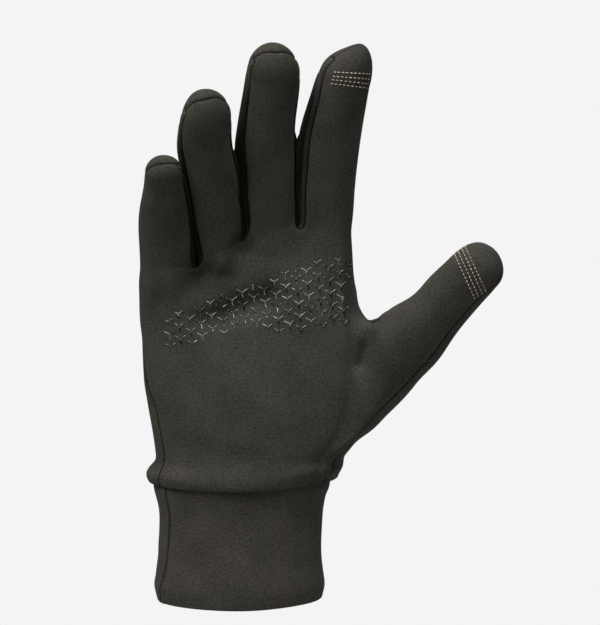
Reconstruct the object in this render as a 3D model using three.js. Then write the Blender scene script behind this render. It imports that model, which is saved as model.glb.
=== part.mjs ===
import * as THREE from 'three';

// A right-hand glove liner of stretch knit, in millimetres.
// Fingers point to +Z, the palm faces -Y and the thumb points to +X.
// The origin is the middle of the cuff's opening.

// Driving dimensions
const BODY_WALL = 1.5;
const CUFF_WALL = 3;
const SEAM_GAP = 0.3;
const CUFF_HEIGHT = 53;
const CUFF_WIDTH = 75;
const CUFF_DEPTH = 45;
const ROLL_OUT = 3; // the body's lower roll stands this far out from the cuff
const ROLL_DROP = 2; // and hangs this far below the edge it is sewn by
const ROLL_CLEARANCE = 0.5; // between the roll's inner face and the cuff
const ROLL_BELLY = 0.8; // its widest place, as a share of that drop
const PALM_HEIGHT = 114; // from the cuff to the crotch of the middle finger and index
const PALM_WIDTH = 94;
const PALM_DEPTH = 42;
const FINGER_LENGTH = 88; // the middle finger, along its bend
const FINGER_WIDTH = 26; // the middle finger, half way up
const FINGER_DEPTH = 22;

// Roundness of the sections: 2 is an ellipse, more is squarer
const PALM_ROUNDNESS = 2.4;
const FINGER_ROUNDNESS = 2.15;
const CUFF_ROUNDNESS = 2.2;

// The palm's sections from the cuff to the crotches. up is a share of the height to the crotch above,
// left and right are shares of PALM_WIDTH, front and back of PALM_DEPTH. In degrees, leftTurn and turn
// are how far the little finger's and the thumb's side seams lie toward the front, and edge and behind
// are where the front's and the back's last columns lie on the thumb's side.
const PALM_ROWS = [
  { up: 0.055, left: -0.428, right: 0.472, front: 0.60, back: 0.58,
    leftTurn: 32, turn: 30, edge: 44, behind: 4 },
  { up: 0.10, left: -0.400, right: 0.490, front: 0.57, back: 0.54,
    leftTurn: 33, turn: 30, edge: 45, behind: 8 },
  { up: 0.155, left: -0.398, right: 0.548, front: 0.56, back: 0.51,
    leftTurn: 32, turn: 30, edge: 46, behind: 14 },
  { up: 0.267, left: -0.416, right: 0.606, front: 0.55, back: 0.46,
    leftTurn: 28, turn: 0, edge: 42, behind: 32 },
  { up: 0.389, left: -0.436, right: 0.638, front: 0.53, back: 0.43,
    leftTurn: 24, turn: 0, edge: 40, behind: 40 },
  { up: 0.511, left: -0.455, right: 0.655, front: 0.49, back: 0.40,
    leftTurn: 18, turn: 0, edge: 38, behind: 38 },
  { up: 0.669, left: -0.459, right: 0.594, front: 0.45, back: 0.385,
    leftTurn: 12, turn: 0, edge: 28, behind: 28 },
  { up: 0.735, left: -0.464, right: 0.560, front: 0.42, back: 0.375,
    leftTurn: 8, turn: 0, edge: 20, behind: 20 },
  { up: 0.817, left: -0.468, right: 0.538, front: 0.395, back: 0.365,
    leftTurn: 4, turn: 0, edge: 16, behind: 16 },
  { up: 0.888, left: -0.470, right: 0.529, front: 0.37, back: 0.35,
    leftTurn: 0, turn: 0, edge: 14, behind: 14 },
  { up: 0.949, left: -0.470, right: 0.524, front: 0.345, back: 0.33,
    leftTurn: 0, turn: 0, edge: 14, behind: 14 },
];

// Where the finger roots begin and end along the palm's top edge, as shares of PALM_WIDTH and PALM_HEIGHT
const CROTCHES = [
  { across: -0.464, up: 0.827 },
  { across: -0.187, up: 0.844 },
  { across: 0.019, up: 0.952 },
  { across: 0.285, up: 0.998 },
  { across: 0.524, up: 0.99 },
];

// The digits. length is a share of FINGER_LENGTH, base, middle and tip widths of FINGER_WIDTH, depth of
// each width times FINGER_DEPTH / FINGER_WIDTH. Lean is toward the thumb, curl toward the palm, roll turns
// the little finger's side to the front and tilt is how far the tip's seam lies in front of the tip, all
// in degrees; ahead is how far the root lies toward the palm, as a share of FINGER_DEPTH, and skew how
// far the tip's top lies toward the thumb, in half widths. The thumb's lower seam stays at seamTurn.
const FINGERS = [
  { length: 0.655, base: 0.98, middle: 0.85, tip: 0.58,
    lean: [-3, 0], curl: [8, 52], roll: 4, tilt: 12, ahead: 0.20, skew: 0.1 },
  { length: 0.885, base: 0.90, middle: 0.95, tip: 0.78,
    lean: [-9, 1], curl: [7, 39], roll: 10, tilt: 27, ahead: 0.10, skew: 0 },
  { length: 0.99, base: 0.96, middle: 1.03, tip: 0.79,
    lean: [-7, 12], curl: [4, 32], roll: 14, tilt: 27, ahead: 0, skew: 0 },
  { length: 0.955, base: 0.92, middle: 1.03, tip: 0.73,
    lean: [-4, 23], curl: [4, 26], roll: 18, tilt: 6, ahead: -0.04, skew: 0.25 },
];
const THUMB = {
  length: 0.765, base: 1.28, middle: 0.99, tip: 0.86, lean: [41, 44.5], curl: [14, 24], roll: -32,
  tilt: -12, ahead: 0.4, across: 0.714, up: 0.511, slant: 23, skew: 0, seamTurn: 44,
};
const THUMB_ROWS = [2, 6]; // the thumb grows out of the palm between these rows of PALM_ROWS

// Shares of a digit's straight part where its rings lie, and angles of the rings that close its tip.
const ROLL_DONE = 0.35; // a digit has its whole roll from this share of its length
const SLANT_DONE = 0.4; // and stands square from this share of its straight part
const BARREL_STATIONS = [0.09, 0.24, 0.40, 0.56, 0.72, 0.87, 1];
const TIP_ANGLES = [58, 30];
const TIP_LENGTH = 0.52; // of the tip's width
// Half the angle that a side strip takes of the finger's section, from the crotch to the tip
const STRIP_ANGLES = [44, 40, 37, 34, 31, 27, 20, 11, 6];
const OPEN_ANGLE = 25; // and from a side seam to the next column, where a digit has no strip

// Soft hollows of the palm, as shares of PALM_WIDTH across, PALM_HEIGHT up and PALM_DEPTH deep
const HOLLOWS = [
  { across: 0.04, up: 0.715, wide: 0.17, high: 0.085, deep: 0.07 },
  { across: -0.1, up: 0.807, wide: 0.08, high: 0.03, deep: 0.045 },
  { across: 0.55, up: 0.49, wide: 0.04, high: 0.08, deep: 0.022 },
];

// The cuff's outline up its height, as shares of CUFF_HEIGHT and CUFF_WIDTH
const CUFF_ROWS = [
  { up: 0.09, width: 1.005 },
  { up: 0.18, width: 1.015 },
  { up: 0.34, width: 0.99 },
  { up: 0.52, width: 0.972 },
  { up: 0.72, width: 0.97 },
  { up: 0.87, width: 0.982 },
];
const FOLD_WIDTH = 0.985; // at the folded lower edge, as a share of CUFF_WIDTH
const CUFF_SEAM_TURN = 26; // degrees from the side to the front

const COLUMNS_GATHER = [0.25, 1]; // over these shares of its height the palm's columns draw toward the roots
const ROOTS_SHOW = [0.72, 1.02]; // and over these its surface takes their round forms
const COLUMNS = 16; // strips of the palm's front, four to a finger
const SHARPEST_MITRE = 0.5; // keeps a panel's corners from drawing in too far
const LEFT_EDGE = 13; // degrees from the little finger's side seam to the next column
const NEIGHBOUR_GAP = 1.6; // between the fingers where they press together
const ROOT_SWELL = 0.2; // the fingers' roots are this much deeper each way
const BACK_CROTCH_DROP = 2; // the crotches lie this much lower behind than in front
const RAD = Math.PI / 180;

const mix = (a, b, share) => a + (b - a) * share;
const mixPoints = (p, q, share) => p.clone().lerp(q, share);
const smoothstep = (low, high, value) => THREE.MathUtils.smoothstep(value, low, high);

// A rounded section's point at an angle from +X toward +Y, for half sizes of one
function roundPoint(degrees, roundness) {
  const c = Math.cos(degrees * RAD);
  const s = Math.sin(degrees * RAD);
  const power = 2 / roundness;
  return [Math.sign(c) * Math.abs(c) ** power, Math.sign(s) * Math.abs(s) ** power];
}

// Angles of the 36 points of a palm ring: the left seam, the front from left to right, the right seam
// and the back from left to right
function ringAngles({ leftTurn, turn, edge, behind }) {
  const front = [];
  const back = [];
  for (let i = 0; i <= COLUMNS; i++) {
    front.push(mix(180 + leftTurn + LEFT_EDGE, 360 - edge, i / COLUMNS));
    back.push(mix(180 + leftTurn - LEFT_EDGE, behind, i / COLUMNS));
  }
  return { left: 180 + leftTurn, front, right: -turn, back };
}

// Points and faces of the whole outer surface; each face names its panel
const points = [];
const faces = [];
const addPoint = (p) => points.push(p) - 1;
const addFace = (panel, ...corners) => faces.push({ panel, corners });
const PALM = 'palm_panel';
const BACK = 'back_panel';
const STRIPS = ['fourchette_little_ring', 'fourchette_ring_middle', 'fourchette_middle_index'];

// A digit's centre line and section at a distance from its root
function digitAt(digit, root, distance) {
  const length = digit.length * FINGER_LENGTH;
  const slices = 12;
  const turn = new THREE.Euler(0, 0, 0, 'YXZ');
  const centre = root.clone();
  for (let i = 0; i < slices; i++) {
    const share = ((i + 0.5) / slices) * (distance / length);
    turn.set(mix(...digit.curl, share) * RAD, mix(...digit.lean, share) * RAD, 0);
    centre.addScaledVector(new THREE.Vector3(0, 0, 1).applyEuler(turn), distance / slices);
  }
  const t = distance / length;
  turn.set(mix(...digit.curl, t) * RAD, mix(...digit.lean, t) * RAD, 0);
  const ends = digit.base * (1 - t) * (1 - 2 * t) + digit.tip * t * (2 * t - 1);
  const width = ends + digit.middle * 4 * t * (1 - t);
  return {
    centre,
    side: new THREE.Vector3(1, 0, 0).applyEuler(turn),
    back: new THREE.Vector3(0, 1, 0).applyEuler(turn),
    along: new THREE.Vector3(0, 0, 1).applyEuler(turn),
    halfWidth: (width * FINGER_WIDTH) / 2,
    halfDepth: (width * FINGER_DEPTH) / 2,
    roll: digit.roll * smoothstep(0, ROLL_DONE, t),
    tilt: digit.tilt,
    skew: digit.skew,
  };
}

// How far a section reaches from its centre in a direction
function reachToward(frame, direction) {
  const across = direction.dot(frame.side) / frame.halfWidth;
  const through = direction.dot(frame.back) / frame.halfDepth;
  return 1 / Math.hypot(across, through);
}

// A neighbouring finger's section at the same height, or null above its tip or below its root
function sectionAtHeight(digit, root, height) {
  const length = digit.length * FINGER_LENGTH;
  let low = 0;
  let high = length;
  if (height < root.z || height > digitAt(digit, root, length).centre.z) return null;
  for (let i = 0; i < 12; i++) {
    const half = (low + high) / 2;
    if (digitAt(digit, root, half).centre.z < height) low = half;
    else high = half;
  }
  return digitAt(digit, root, low);
}

// Where two fingers press together, each lies flat against the plane between them
function pressFlat(ring, frame, neighbours) {
  for (const { digit, root } of neighbours) {
    const other = sectionAtHeight(digit, root, frame.centre.z);
    if (!other) continue;
    const toward = other.centre.clone().sub(frame.centre);
    const apart = toward.length();
    toward.normalize();
    const own = reachToward(frame, toward);
    const shared = (apart * own) / (own + reachToward(other, toward)) - NEIGHBOUR_GAP / 2;
    for (const point of ring) {
      const past = point.clone().sub(frame.centre).dot(toward) - shared;
      if (past > 0) point.addScaledVector(toward, -past);
    }
  }
}

// The 12 angles of a digit's ring: left side, five in front, right side, five behind. left and right are
// the angles from the side seams to the next columns, and low turns the right seam to the front.
function digitAngles(left, right, low = 0) {
  const angles = [180];
  for (let i = 0; i <= 4; i++) angles.push(mix(180 + left, 360 - low - right, i / 4));
  angles.push(360 - low);
  for (let i = 0; i <= 4; i++) angles.push(mix(right - low, 180 - left, i / 4));
  return angles;
}

function placeAt(frame, x, y, z) {
  return frame.centre
    .clone()
    .addScaledVector(frame.side, x)
    .addScaledVector(frame.back, y)
    .addScaledVector(frame.along, z);
}

function barrelRing(frame, angles, slant = 0) {
  return angles.map((angle) => {
    const [x, y] = roundPoint(angle + frame.roll, FINGER_ROUNDNESS);
    const across = x * frame.halfWidth;
    return placeAt(frame, across, y * frame.halfDepth, -across * Math.tan(slant * RAD));
  });
}

// A ring round the tip, or its middle when the angle is zero, with the pole tilted toward the palm
function tipPoint(frame, tipLength, polar, angle) {
  const [x, y] = roundPoint(angle + frame.roll, FINGER_ROUNDNESS);
  const around = Math.sin(polar * RAD);
  const up = Math.cos(polar * RAD);
  const tilt = frame.tilt * RAD * (1 - polar / 90);
  const depth = y * around * Math.cos(tilt) - up * Math.sin(tilt);
  const height = y * around * Math.sin(tilt) + up * Math.cos(tilt);
  const across = x * around + frame.skew * height ** 2;
  return placeAt(frame, across * frame.halfWidth, depth * frame.halfDepth, height * tipLength);
}

function joinRings(lower, upper, strips) {
  const panels = [strips.left ?? PALM, PALM, PALM, PALM, PALM, strips.right ?? PALM];
  panels.push(strips.right ?? BACK, BACK, BACK, BACK, BACK, strips.left ?? BACK);
  for (let i = 0; i < 12; i++) {
    const next = (i + 1) % 12;
    addFace(panels[i], lower[i], lower[next], upper[next], upper[i]);
  }
}

// The middle of a smooth curve between two points that leaves and arrives in the given directions
function halfWay(from, leaving, to, arriving) {
  const reach = from.distanceTo(to) / 8;
  return mixPoints(from, to, 0.5).addScaledVector(leaving, reach).addScaledVector(arriving, -reach);
}

// Adds a digit on the ring of 12 points that it grows from. A slanted digit also takes the directions
// in which the palm runs into that ring.
function addDigit(digit, root, rootRing, { strips, neighbours = [], leaving }) {
  const tipLength = digit.tip * FINGER_WIDTH * TIP_LENGTH;
  const barrel = digit.length * FINGER_LENGTH - tipLength;
  let lower = rootRing;
  const join = (ring) => {
    const upper = ring.map(addPoint);
    joinRings(lower, upper, strips);
    lower = upper;
  };
  const openAngle = (i) => (digit.seamTurn ? OPEN_ANGLE : Math.max(OPEN_ANGLE, STRIP_ANGLES[i]));
  const anglesAt = (i, frame) => digitAngles(
    strips.left ? STRIP_ANGLES[i] : openAngle(i),
    strips.right ? STRIP_ANGLES[i] : openAngle(i),
    digit.seamTurn ? digit.seamTurn + frame.roll : 0,
  );
  if (digit.slant) {
    const start = digitAt(digit, root, 0);
    const first = barrelRing(start, anglesAt(0, start), digit.slant);
    join(first.map((point, i) => halfWay(points[rootRing[i]], leaving[i], point, start.along)));
    join(first);
  }
  BARREL_STATIONS.forEach((share, i) => {
    const slant = (digit.slant ?? 0) * Math.max(0, 1 - share / SLANT_DONE);
    const frame = digitAt(digit, root, share * barrel);
    const ring = barrelRing(frame, anglesAt(i, frame), slant);
    pressFlat(ring, frame, neighbours);
    join(ring);
  });
  const tip = digitAt(digit, root, barrel);
  TIP_ANGLES.forEach((polar, i) => {
    const angles = anglesAt(BARREL_STATIONS.length + i, tip);
    join(angles.map((angle) => tipPoint(tip, tipLength, polar, angle)));
  });
  const inner = TIP_ANGLES.at(-1) / 2;
  const cap = [[inner, 180], [0, 0], [inner, anglesAt(0, tip)[6]]];
  const [left, middle, right] = cap.map(([polar, angle]) => addPoint(tipPoint(tip, tipLength, polar, angle)));
  const ring = lower;
  addFace(PALM, ring[0], ring[1], ring[2], left);
  addFace(PALM, left, ring[2], ring[3], middle);
  addFace(PALM, middle, ring[3], ring[4], right);
  addFace(PALM, right, ring[4], ring[5], ring[6]);
  addFace(BACK, ring[0], left, ring[10], ring[11]);
  addFace(BACK, left, middle, ring[9], ring[10]);
  addFace(BACK, middle, right, ring[8], ring[9]);
  addFace(BACK, right, ring[6], ring[7], ring[8]);
}

// The cuff's section, which the body's lower edge follows
function cuffPoint(angle, width, outset) {
  const [x, y] = roundPoint(angle, CUFF_ROUNDNESS);
  const depth = (CUFF_DEPTH * width) / 2 + outset;
  return [x * ((CUFF_WIDTH * width) / 2 + outset), y * depth];
}

// The roots of the fingers, their rings, and the palm's top edge with the crotch points shared
const crotchAt = (i) => ({ x: CROTCHES[i].across * PALM_WIDTH, z: CUFF_HEIGHT + CROTCHES[i].up * PALM_HEIGHT });
const roots = FINGERS.map((finger, i) => {
  const left = crotchAt(i);
  const right = crotchAt(i + 1);
  return new THREE.Vector3((left.x + right.x) / 2, -finger.ahead * FINGER_DEPTH, (left.z + right.z) / 2);
});
const topRings = FINGERS.map((finger, i) => {
  const left = crotchAt(i);
  const right = crotchAt(i + 1);
  const width = (right.x - left.x) / 2;
  return digitAngles(STRIP_ANGLES[0], STRIP_ANGLES[0]).map((angle) => {
    const [x, y] = roundPoint(angle, FINGER_ROUNDNESS);
    const depth = (finger.base * FINGER_DEPTH) / 2 + ROOT_SWELL;
    const rise = mix(left.z, right.z, (x + 1) / 2);
    return new THREE.Vector3(roots[i].x + x * width, roots[i].y + y * depth, rise);
  });
});
const top = { front: [], back: [], left: topRings[0][0], right: topRings[3][6], middles: [] };
FINGERS.forEach((finger, i) => {
  const ring = topRings[i];
  for (let k = 0; k <= 4; k++) {
    const column = 4 * i + k;
    const behind = ring[11 - k];
    const shared = k === 0 && i > 0;
    top.front[column] = shared ? mixPoints(top.front[column], ring[1 + k], 0.5) : ring[1 + k].clone();
    top.back[column] = shared ? mixPoints(top.back[column], behind, 0.5) : behind.clone();
  }
});
for (let i = 1; i < 4; i++) {
  const crotch = crotchAt(i);
  const front = top.front[4 * i];
  const back = top.back[4 * i];
  front.x = crotch.x;
  back.x = crotch.x;
  front.z = crotch.z;
  back.z = crotch.z - BACK_CROTCH_DROP;
  top.middles[i] = new THREE.Vector3(crotch.x, (front.y + back.y) / 2, crotch.z - BACK_CROTCH_DROP / 2);
}

// A palm ring from its row, drawn toward the top edge's places near the crotches
function palmRing(row) {
  const left = row.left * PALM_WIDTH;
  const right = row.right * PALM_WIDTH;
  const halfWidth = (right - left) / 2;
  const middle = (left + right) / 2;
  const angles = ringAngles(row);
  const sideways = smoothstep(...COLUMNS_GATHER, row.up);
  const inward = smoothstep(...ROOTS_SHOW, row.up);
  const place = (angle, above) => {
    const [x, y] = roundPoint(angle, PALM_ROUNDNESS);
    const across = mix(middle + x * halfWidth, above.x, sideways);
    const u = THREE.MathUtils.clamp((across - middle) / halfWidth, -1, 1);
    const bulge = (1 - Math.abs(u) ** PALM_ROUNDNESS) ** (1 / PALM_ROUNDNESS);
    const depth = y < 0 ? -bulge * row.front * PALM_DEPTH : bulge * row.back * PALM_DEPTH;
    const rise = CUFF_HEIGHT + row.up * (above.z - CUFF_HEIGHT);
    const point = new THREE.Vector3(across, mix(depth, above.y, inward), rise);
    for (const hollow of HOLLOWS) {
      const dx = (point.x / PALM_WIDTH - hollow.across) / hollow.wide;
      const dz = ((point.z - CUFF_HEIGHT) / PALM_HEIGHT - hollow.up) / hollow.high;
      if (y < 0) point.y += hollow.deep * PALM_DEPTH * Math.exp(-dx * dx - dz * dz);
    }
    return point;
  };
  const side = (angle, above, extreme) => {
    const point = place(angle, above);
    const [x, y] = roundPoint(angle, PALM_ROUNDNESS);
    point.x = mix(middle + x * halfWidth, extreme, Math.min(sideways, 1 - Math.abs(y)));
    return point;
  };
  return {
    left: side(angles.left, top.left, left),
    front: angles.front.map((angle, i) => place(angle, top.front[i])),
    right: side(angles.right, top.right, right),
    back: angles.back.map((angle, i) => place(angle, top.back[i])),
  };
}

// The sewn lower edge and the roll that hangs over the cuff
function rollRing(outset, height) {
  const angles = ringAngles(PALM_ROWS[0]);
  const place = (angle) => {
    const [x, y] = cuffPoint(angle, 1, outset);
    return new THREE.Vector3(x, y, height);
  };
  return {
    left: place(angles.left),
    front: angles.front.map(place),
    right: place(angles.right),
    back: angles.back.map(place),
  };
}

const seamHeight = CUFF_HEIGHT + SEAM_GAP;
const palmRings = [
  rollRing(SEAM_GAP, seamHeight + ROLL_DROP),
  rollRing(BODY_WALL + ROLL_CLEARANCE, seamHeight),
  rollRing(ROLL_OUT, seamHeight + ROLL_DROP * ROLL_BELLY),
  ...PALM_ROWS.map(palmRing),
  top,
];
const thumbStart = THUMB_ROWS[0] + 3;
const thumbEnd = THUMB_ROWS[1] + 3;
const rings = palmRings.map((ring, row) => ({
  left: addPoint(ring.left),
  front: ring.front.map(addPoint),
  right: row > thumbStart && row < thumbEnd ? null : addPoint(ring.right),
  back: ring.back.map(addPoint),
}));

for (let row = 0; row + 1 < rings.length; row++) {
  const low = rings[row];
  const high = rings[row + 1];
  addFace(PALM, low.left, low.front[0], high.front[0], high.left);
  addFace(BACK, low.back[0], low.left, high.left, high.back[0]);
  for (let i = 0; i < COLUMNS; i++) {
    addFace(PALM, low.front[i], low.front[i + 1], high.front[i + 1], high.front[i]);
    addFace(BACK, low.back[i + 1], low.back[i], high.back[i], high.back[i + 1]);
  }
  if (row < thumbStart || row >= thumbEnd) {
    addFace(PALM, low.front[COLUMNS], low.right, high.right, high.front[COLUMNS]);
    addFace(BACK, low.right, low.back[COLUMNS], high.back[COLUMNS], high.right);
  }
}

const topIds = rings.at(-1);
const middles = [topIds.left, ...top.middles.slice(1).map(addPoint), topIds.right];
FINGERS.forEach((finger, i) => {
  const from = 4 * i;
  const front = topIds.front.slice(from, from + 5);
  const back = topIds.back.slice(from, from + 5).reverse();
  const rootRing = [middles[i], ...front, middles[i + 1], ...back];
  const neighbours = [i - 1, i + 1]
    .filter((other) => FINGERS[other])
    .map((other) => ({ digit: FINGERS[other], root: roots[other] }));
  const strips = { left: STRIPS[i - 1] ?? null, right: STRIPS[i] ?? null };
  addDigit(finger, roots[i], rootRing, { strips, neighbours });
});

const thumbRows = rings.slice(thumbStart, thumbEnd + 1);
const thumbFront = thumbRows.map((ring) => ring.front[COLUMNS]).reverse();
const thumbBack = thumbRows.map((ring) => ring.back[COLUMNS]);
const thumbRoot = [rings[thumbEnd].right, ...thumbFront, rings[thumbStart].right, ...thumbBack];
const thumbPlace = new THREE.Vector3(
  THUMB.across * PALM_WIDTH, -THUMB.ahead * FINGER_DEPTH, CUFF_HEIGHT + THUMB.up * PALM_HEIGHT);
const direction = (from, to) => points[to].clone().sub(points[from]).normalize();
const thumbLeaving = [
  direction(rings[thumbEnd + 1].right, rings[thumbEnd].right),
  ...thumbRows.map((ring) => direction(ring.front[COLUMNS - 1], ring.front[COLUMNS])).reverse(),
  direction(rings[thumbStart - 1].right, rings[thumbStart].right),
  ...thumbRows.map((ring) => direction(ring.back[COLUMNS - 1], ring.back[COLUMNS])),
];
addDigit(THUMB, thumbPlace, thumbRoot, { strips: { left: null, right: null }, leaving: thumbLeaving });

// Unit normals of the whole outer surface, so that neighbouring panels keep parallel edges
const faceNormal = (corners) => {
  const [a, b, c, d] = corners.map((i) => points[i]);
  return c.clone().sub(a).cross(d.clone().sub(b)).normalize();
};
const normals = points.map(() => new THREE.Vector3());
for (const face of faces) {
  face.normal = faceNormal(face.corners);
  for (const corner of face.corners) normals[corner].add(face.normal);
}
normals.forEach((normal) => normal.normalize());

// One panel as a closed solid: its outer faces, the same faces one wall further in, and its edge.
// Its edge is drawn in by half the seam gap, and the two panels at a seam split its faces alike.
function panelGeometry(panel) {
  const own = faces.filter((face) => face.panel === panel);
  const edges = new Map();
  for (const { corners, normal } of own) {
    corners.forEach((from, i) => {
      const to = corners[(i + 1) % 4];
      const inward = normal.clone().cross(points[to].clone().sub(points[from])).normalize();
      edges.set(`${from},${to}`, { from, to, inward });
    });
  }
  const rim = [...edges.values()].filter(({ from, to }) => !edges.has(`${to},${from}`));
  const drawIn = new Map();
  for (const { from, to, inward } of rim) {
    for (const corner of [from, to]) drawIn.set(corner, [...(drawIn.get(corner) ?? []), inward]);
  }
  const outer = new Map();
  const position = [];
  for (const corner of new Set(own.flatMap((face) => face.corners))) {
    const point = points[corner].clone();
    const inwards = drawIn.get(corner) ?? [];
    if (inwards.length) {
      const sum = inwards.reduce((total, inward) => total.add(inward), new THREE.Vector3());
      const lean = Math.max(SHARPEST_MITRE, sum.dot(inwards[0]));
      point.addScaledVector(sum, SEAM_GAP / 2 / lean);
    }
    const inner = point.clone().addScaledVector(normals[corner], -BODY_WALL);
    outer.set(corner, position.length / 3);
    position.push(...point.toArray(), ...inner.toArray());
  }
  const index = [];
  for (const { corners } of own) {
    const [a, b, c, d] = corners.map((corner) => outer.get(corner));
    index.push(a, b, c, a, c, d, a + 1, c + 1, b + 1, a + 1, d + 1, c + 1);
  }
  for (const { from, to } of rim) {
    const a = outer.get(from);
    const b = outer.get(to);
    if (from < to) index.push(b, a, b + 1, a, a + 1, b + 1);
    else index.push(b, a, a + 1, b, a + 1, b + 1);
  }
  const geometry = new THREE.BufferGeometry();
  geometry.setAttribute('position', new THREE.Float32BufferAttribute(position, 3));
  geometry.setIndex(index);
  geometry.computeVertexNormals();
  return geometry;
}

// The cuff: its outer face, its top edge, its inner face and the fold at its opening
function cuffGeometry() {
  const fold = CUFF_WALL / 2;
  const outline = CUFF_ROWS.map(({ up, width }) => ({ width, inset: 0, height: up * CUFF_HEIGHT }));
  outline.unshift({ width: FOLD_WIDTH, inset: 0, height: fold });
  outline.push({ width: 1, inset: 0, height: CUFF_HEIGHT });
  const inside = outline.map((row) => ({ ...row, inset: CUFF_WALL })).reverse();
  const foldRows = [135, 90, 45].map((angle) => ({
    width: FOLD_WIDTH,
    inset: fold - fold * Math.cos(angle * RAD),
    height: fold - fold * Math.sin(angle * RAD),
  }));
  const loop = [...outline, ...inside, ...foldRows];
  const around = 2 * COLUMNS + 4;
  const position = [];
  const index = [];
  loop.forEach(({ width, inset, height }, row) => {
    const next = (row + 1) % loop.length;
    for (let i = 0; i < around; i++) {
      const angle = 180 + CUFF_SEAM_TURN + (360 * i) / around;
      position.push(...cuffPoint(angle, width, -inset), height);
      const j = (i + 1) % around;
      const [a, b, c, d] = [row * around + i, row * around + j, next * around + j, next * around + i];
      index.push(a, b, c, a, c, d);
    }
  });
  const geometry = new THREE.BufferGeometry();
  geometry.setAttribute('position', new THREE.Float32BufferAttribute(position, 3));
  geometry.setIndex(index);
  geometry.computeVertexNormals();
  return geometry;
}

const fleece = (color) => new THREE.MeshStandardMaterial({ color, roughness: 0.95, metalness: 0 });
const glove = new THREE.Group();
function addMesh(name, geometry, material) {
  const mesh = new THREE.Mesh(geometry, material);
  mesh.name = name;
  glove.add(mesh);
}
addMesh(PALM, panelGeometry(PALM), fleece('#33322e'));
addMesh(BACK, panelGeometry(BACK), fleece('#302f2b'));
for (const strip of STRIPS) addMesh(strip, panelGeometry(strip), fleece('#24231f'));
addMesh('cuff', cuffGeometry(), fleece('#3e3c37'));

export default glove;
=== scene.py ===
import math

import bpy
import numpy as np
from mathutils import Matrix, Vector
from mathutils.bvhtree import BVHTree
from mathutils.kdtree import KDTree


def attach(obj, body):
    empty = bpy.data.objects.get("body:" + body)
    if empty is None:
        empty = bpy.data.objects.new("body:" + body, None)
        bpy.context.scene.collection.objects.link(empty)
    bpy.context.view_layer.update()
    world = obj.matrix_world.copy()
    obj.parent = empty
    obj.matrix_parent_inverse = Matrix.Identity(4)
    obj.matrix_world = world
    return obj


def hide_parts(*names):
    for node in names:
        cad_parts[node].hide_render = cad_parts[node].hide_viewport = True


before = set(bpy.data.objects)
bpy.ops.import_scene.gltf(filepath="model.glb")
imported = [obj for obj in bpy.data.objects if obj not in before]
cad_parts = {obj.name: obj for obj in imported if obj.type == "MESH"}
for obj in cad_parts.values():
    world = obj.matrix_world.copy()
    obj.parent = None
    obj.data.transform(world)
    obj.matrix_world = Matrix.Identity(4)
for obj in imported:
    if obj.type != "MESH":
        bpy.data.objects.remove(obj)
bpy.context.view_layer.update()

# A right-hand glove liner of stretch knit. Shapes are made in millimetres and placed in metres.
MM = 0.001
RAD = math.pi / 180

BODY_WALL = 1.5
CUFF_WALL = 3
SEAM_GAP = 0.3
CUFF_HEIGHT = 53
CUFF_WIDTH = 75
CUFF_DEPTH = 45
ROLL_OUT = 3
ROLL_DROP = 2
ROLL_CLEARANCE = 0.5
ROLL_BELLY = 0.8
THUMB_SIDE_FULLER = 1.6  # the roll's lobe below the thumb
PALM_HEIGHT = 114
PALM_WIDTH = 94
PALM_DEPTH = 42
FINGER_LENGTH = 88
FINGER_WIDTH = 26
FINGER_DEPTH = 22
PALM_ROUNDNESS = 2.4
FINGER_ROUNDNESS = 2.15
CUFF_ROUNDNESS = 2.2

# up, left, right, front, back, left seam's turn, right seam's turn, last column in front, and behind
PALM_ROWS = [
    (0.055, -0.428, 0.476, 0.60, 0.58, 31, 30, 44, 4),
    (0.10, -0.400, 0.490, 0.57, 0.54, 27, 30, 45, 8),
    (0.155, -0.398, 0.548, 0.56, 0.51, 28, 30, 46, 14),
    (0.267, -0.416, 0.606, 0.55, 0.46, 25, 0, 42, 32),
    (0.389, -0.436, 0.638, 0.53, 0.43, 24, 0, 40, 40),
    (0.511, -0.455, 0.655, 0.49, 0.40, 18, 0, 38, 38),
    (0.669, -0.459, 0.594, 0.45, 0.385, 12, 0, 28, 28),
    (0.735, -0.464, 0.560, 0.42, 0.375, 8, 0, 20, 20),
    (0.817, -0.468, 0.538, 0.395, 0.365, 4, 0, 16, 16),
    (0.888, -0.470, 0.529, 0.37, 0.35, 0, 0, 14, 14),
    (0.949, -0.470, 0.524, 0.345, 0.33, 0, 0, 14, 14),
]
# across and up, as shares of the palm: the little finger's outer root, the bottoms of the gaps, the index's
CROTCHES = [(-0.464, 0.827), (-0.187, 0.844), (0.019, 0.952), (0.285, 0.998), (0.524, 0.99)]
# Digits: the length and the widths at the root, the middle and the tip, as shares of a finger's. In degrees,
# the lean to the side and the curl to the front, at the root and the end, the roll about the digit's own line
# and the tip's tilt. Then how far ahead the root lies, and the tip's skew, length (point) and form (taper).
FINGERS = [
    dict(length=0.655, base=0.98, middle=0.85, tip=0.58,
         lean=(-3, 0), curl=(8, 52), roll=4, tilt=12, ahead=0.20, skew=0.1),
    dict(length=0.885, base=0.90, middle=0.95, tip=0.78, point=1.4,
         lean=(-9, 1), curl=(7, 39), roll=10, tilt=27, ahead=0.10, skew=0),
    dict(length=0.99, base=0.96, middle=1.03, tip=0.80, point=1.3,
         lean=(-7, 12), curl=(4, 32), roll=14, tilt=27, ahead=0, skew=0),
    dict(length=0.955, base=0.92, middle=1.03, tip=0.71, point=1.6, taper=1.75,
         lean=(-4, 23), curl=(4, 26), roll=18, tilt=-8, ahead=-0.04, skew=0.3),
]
THUMB = dict(length=0.765, base=1.28, middle=0.99, tip=0.80, lean=(41, 44.5), curl=(14, 24), roll=-32,
             tilt=-12, ahead=0.4, across=0.714, up=0.511, slant=23, skew=-0.14, seam_turn=44)
THUMB_ROWS = (2, 6)
ROLL_DONE = 0.35
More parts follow.
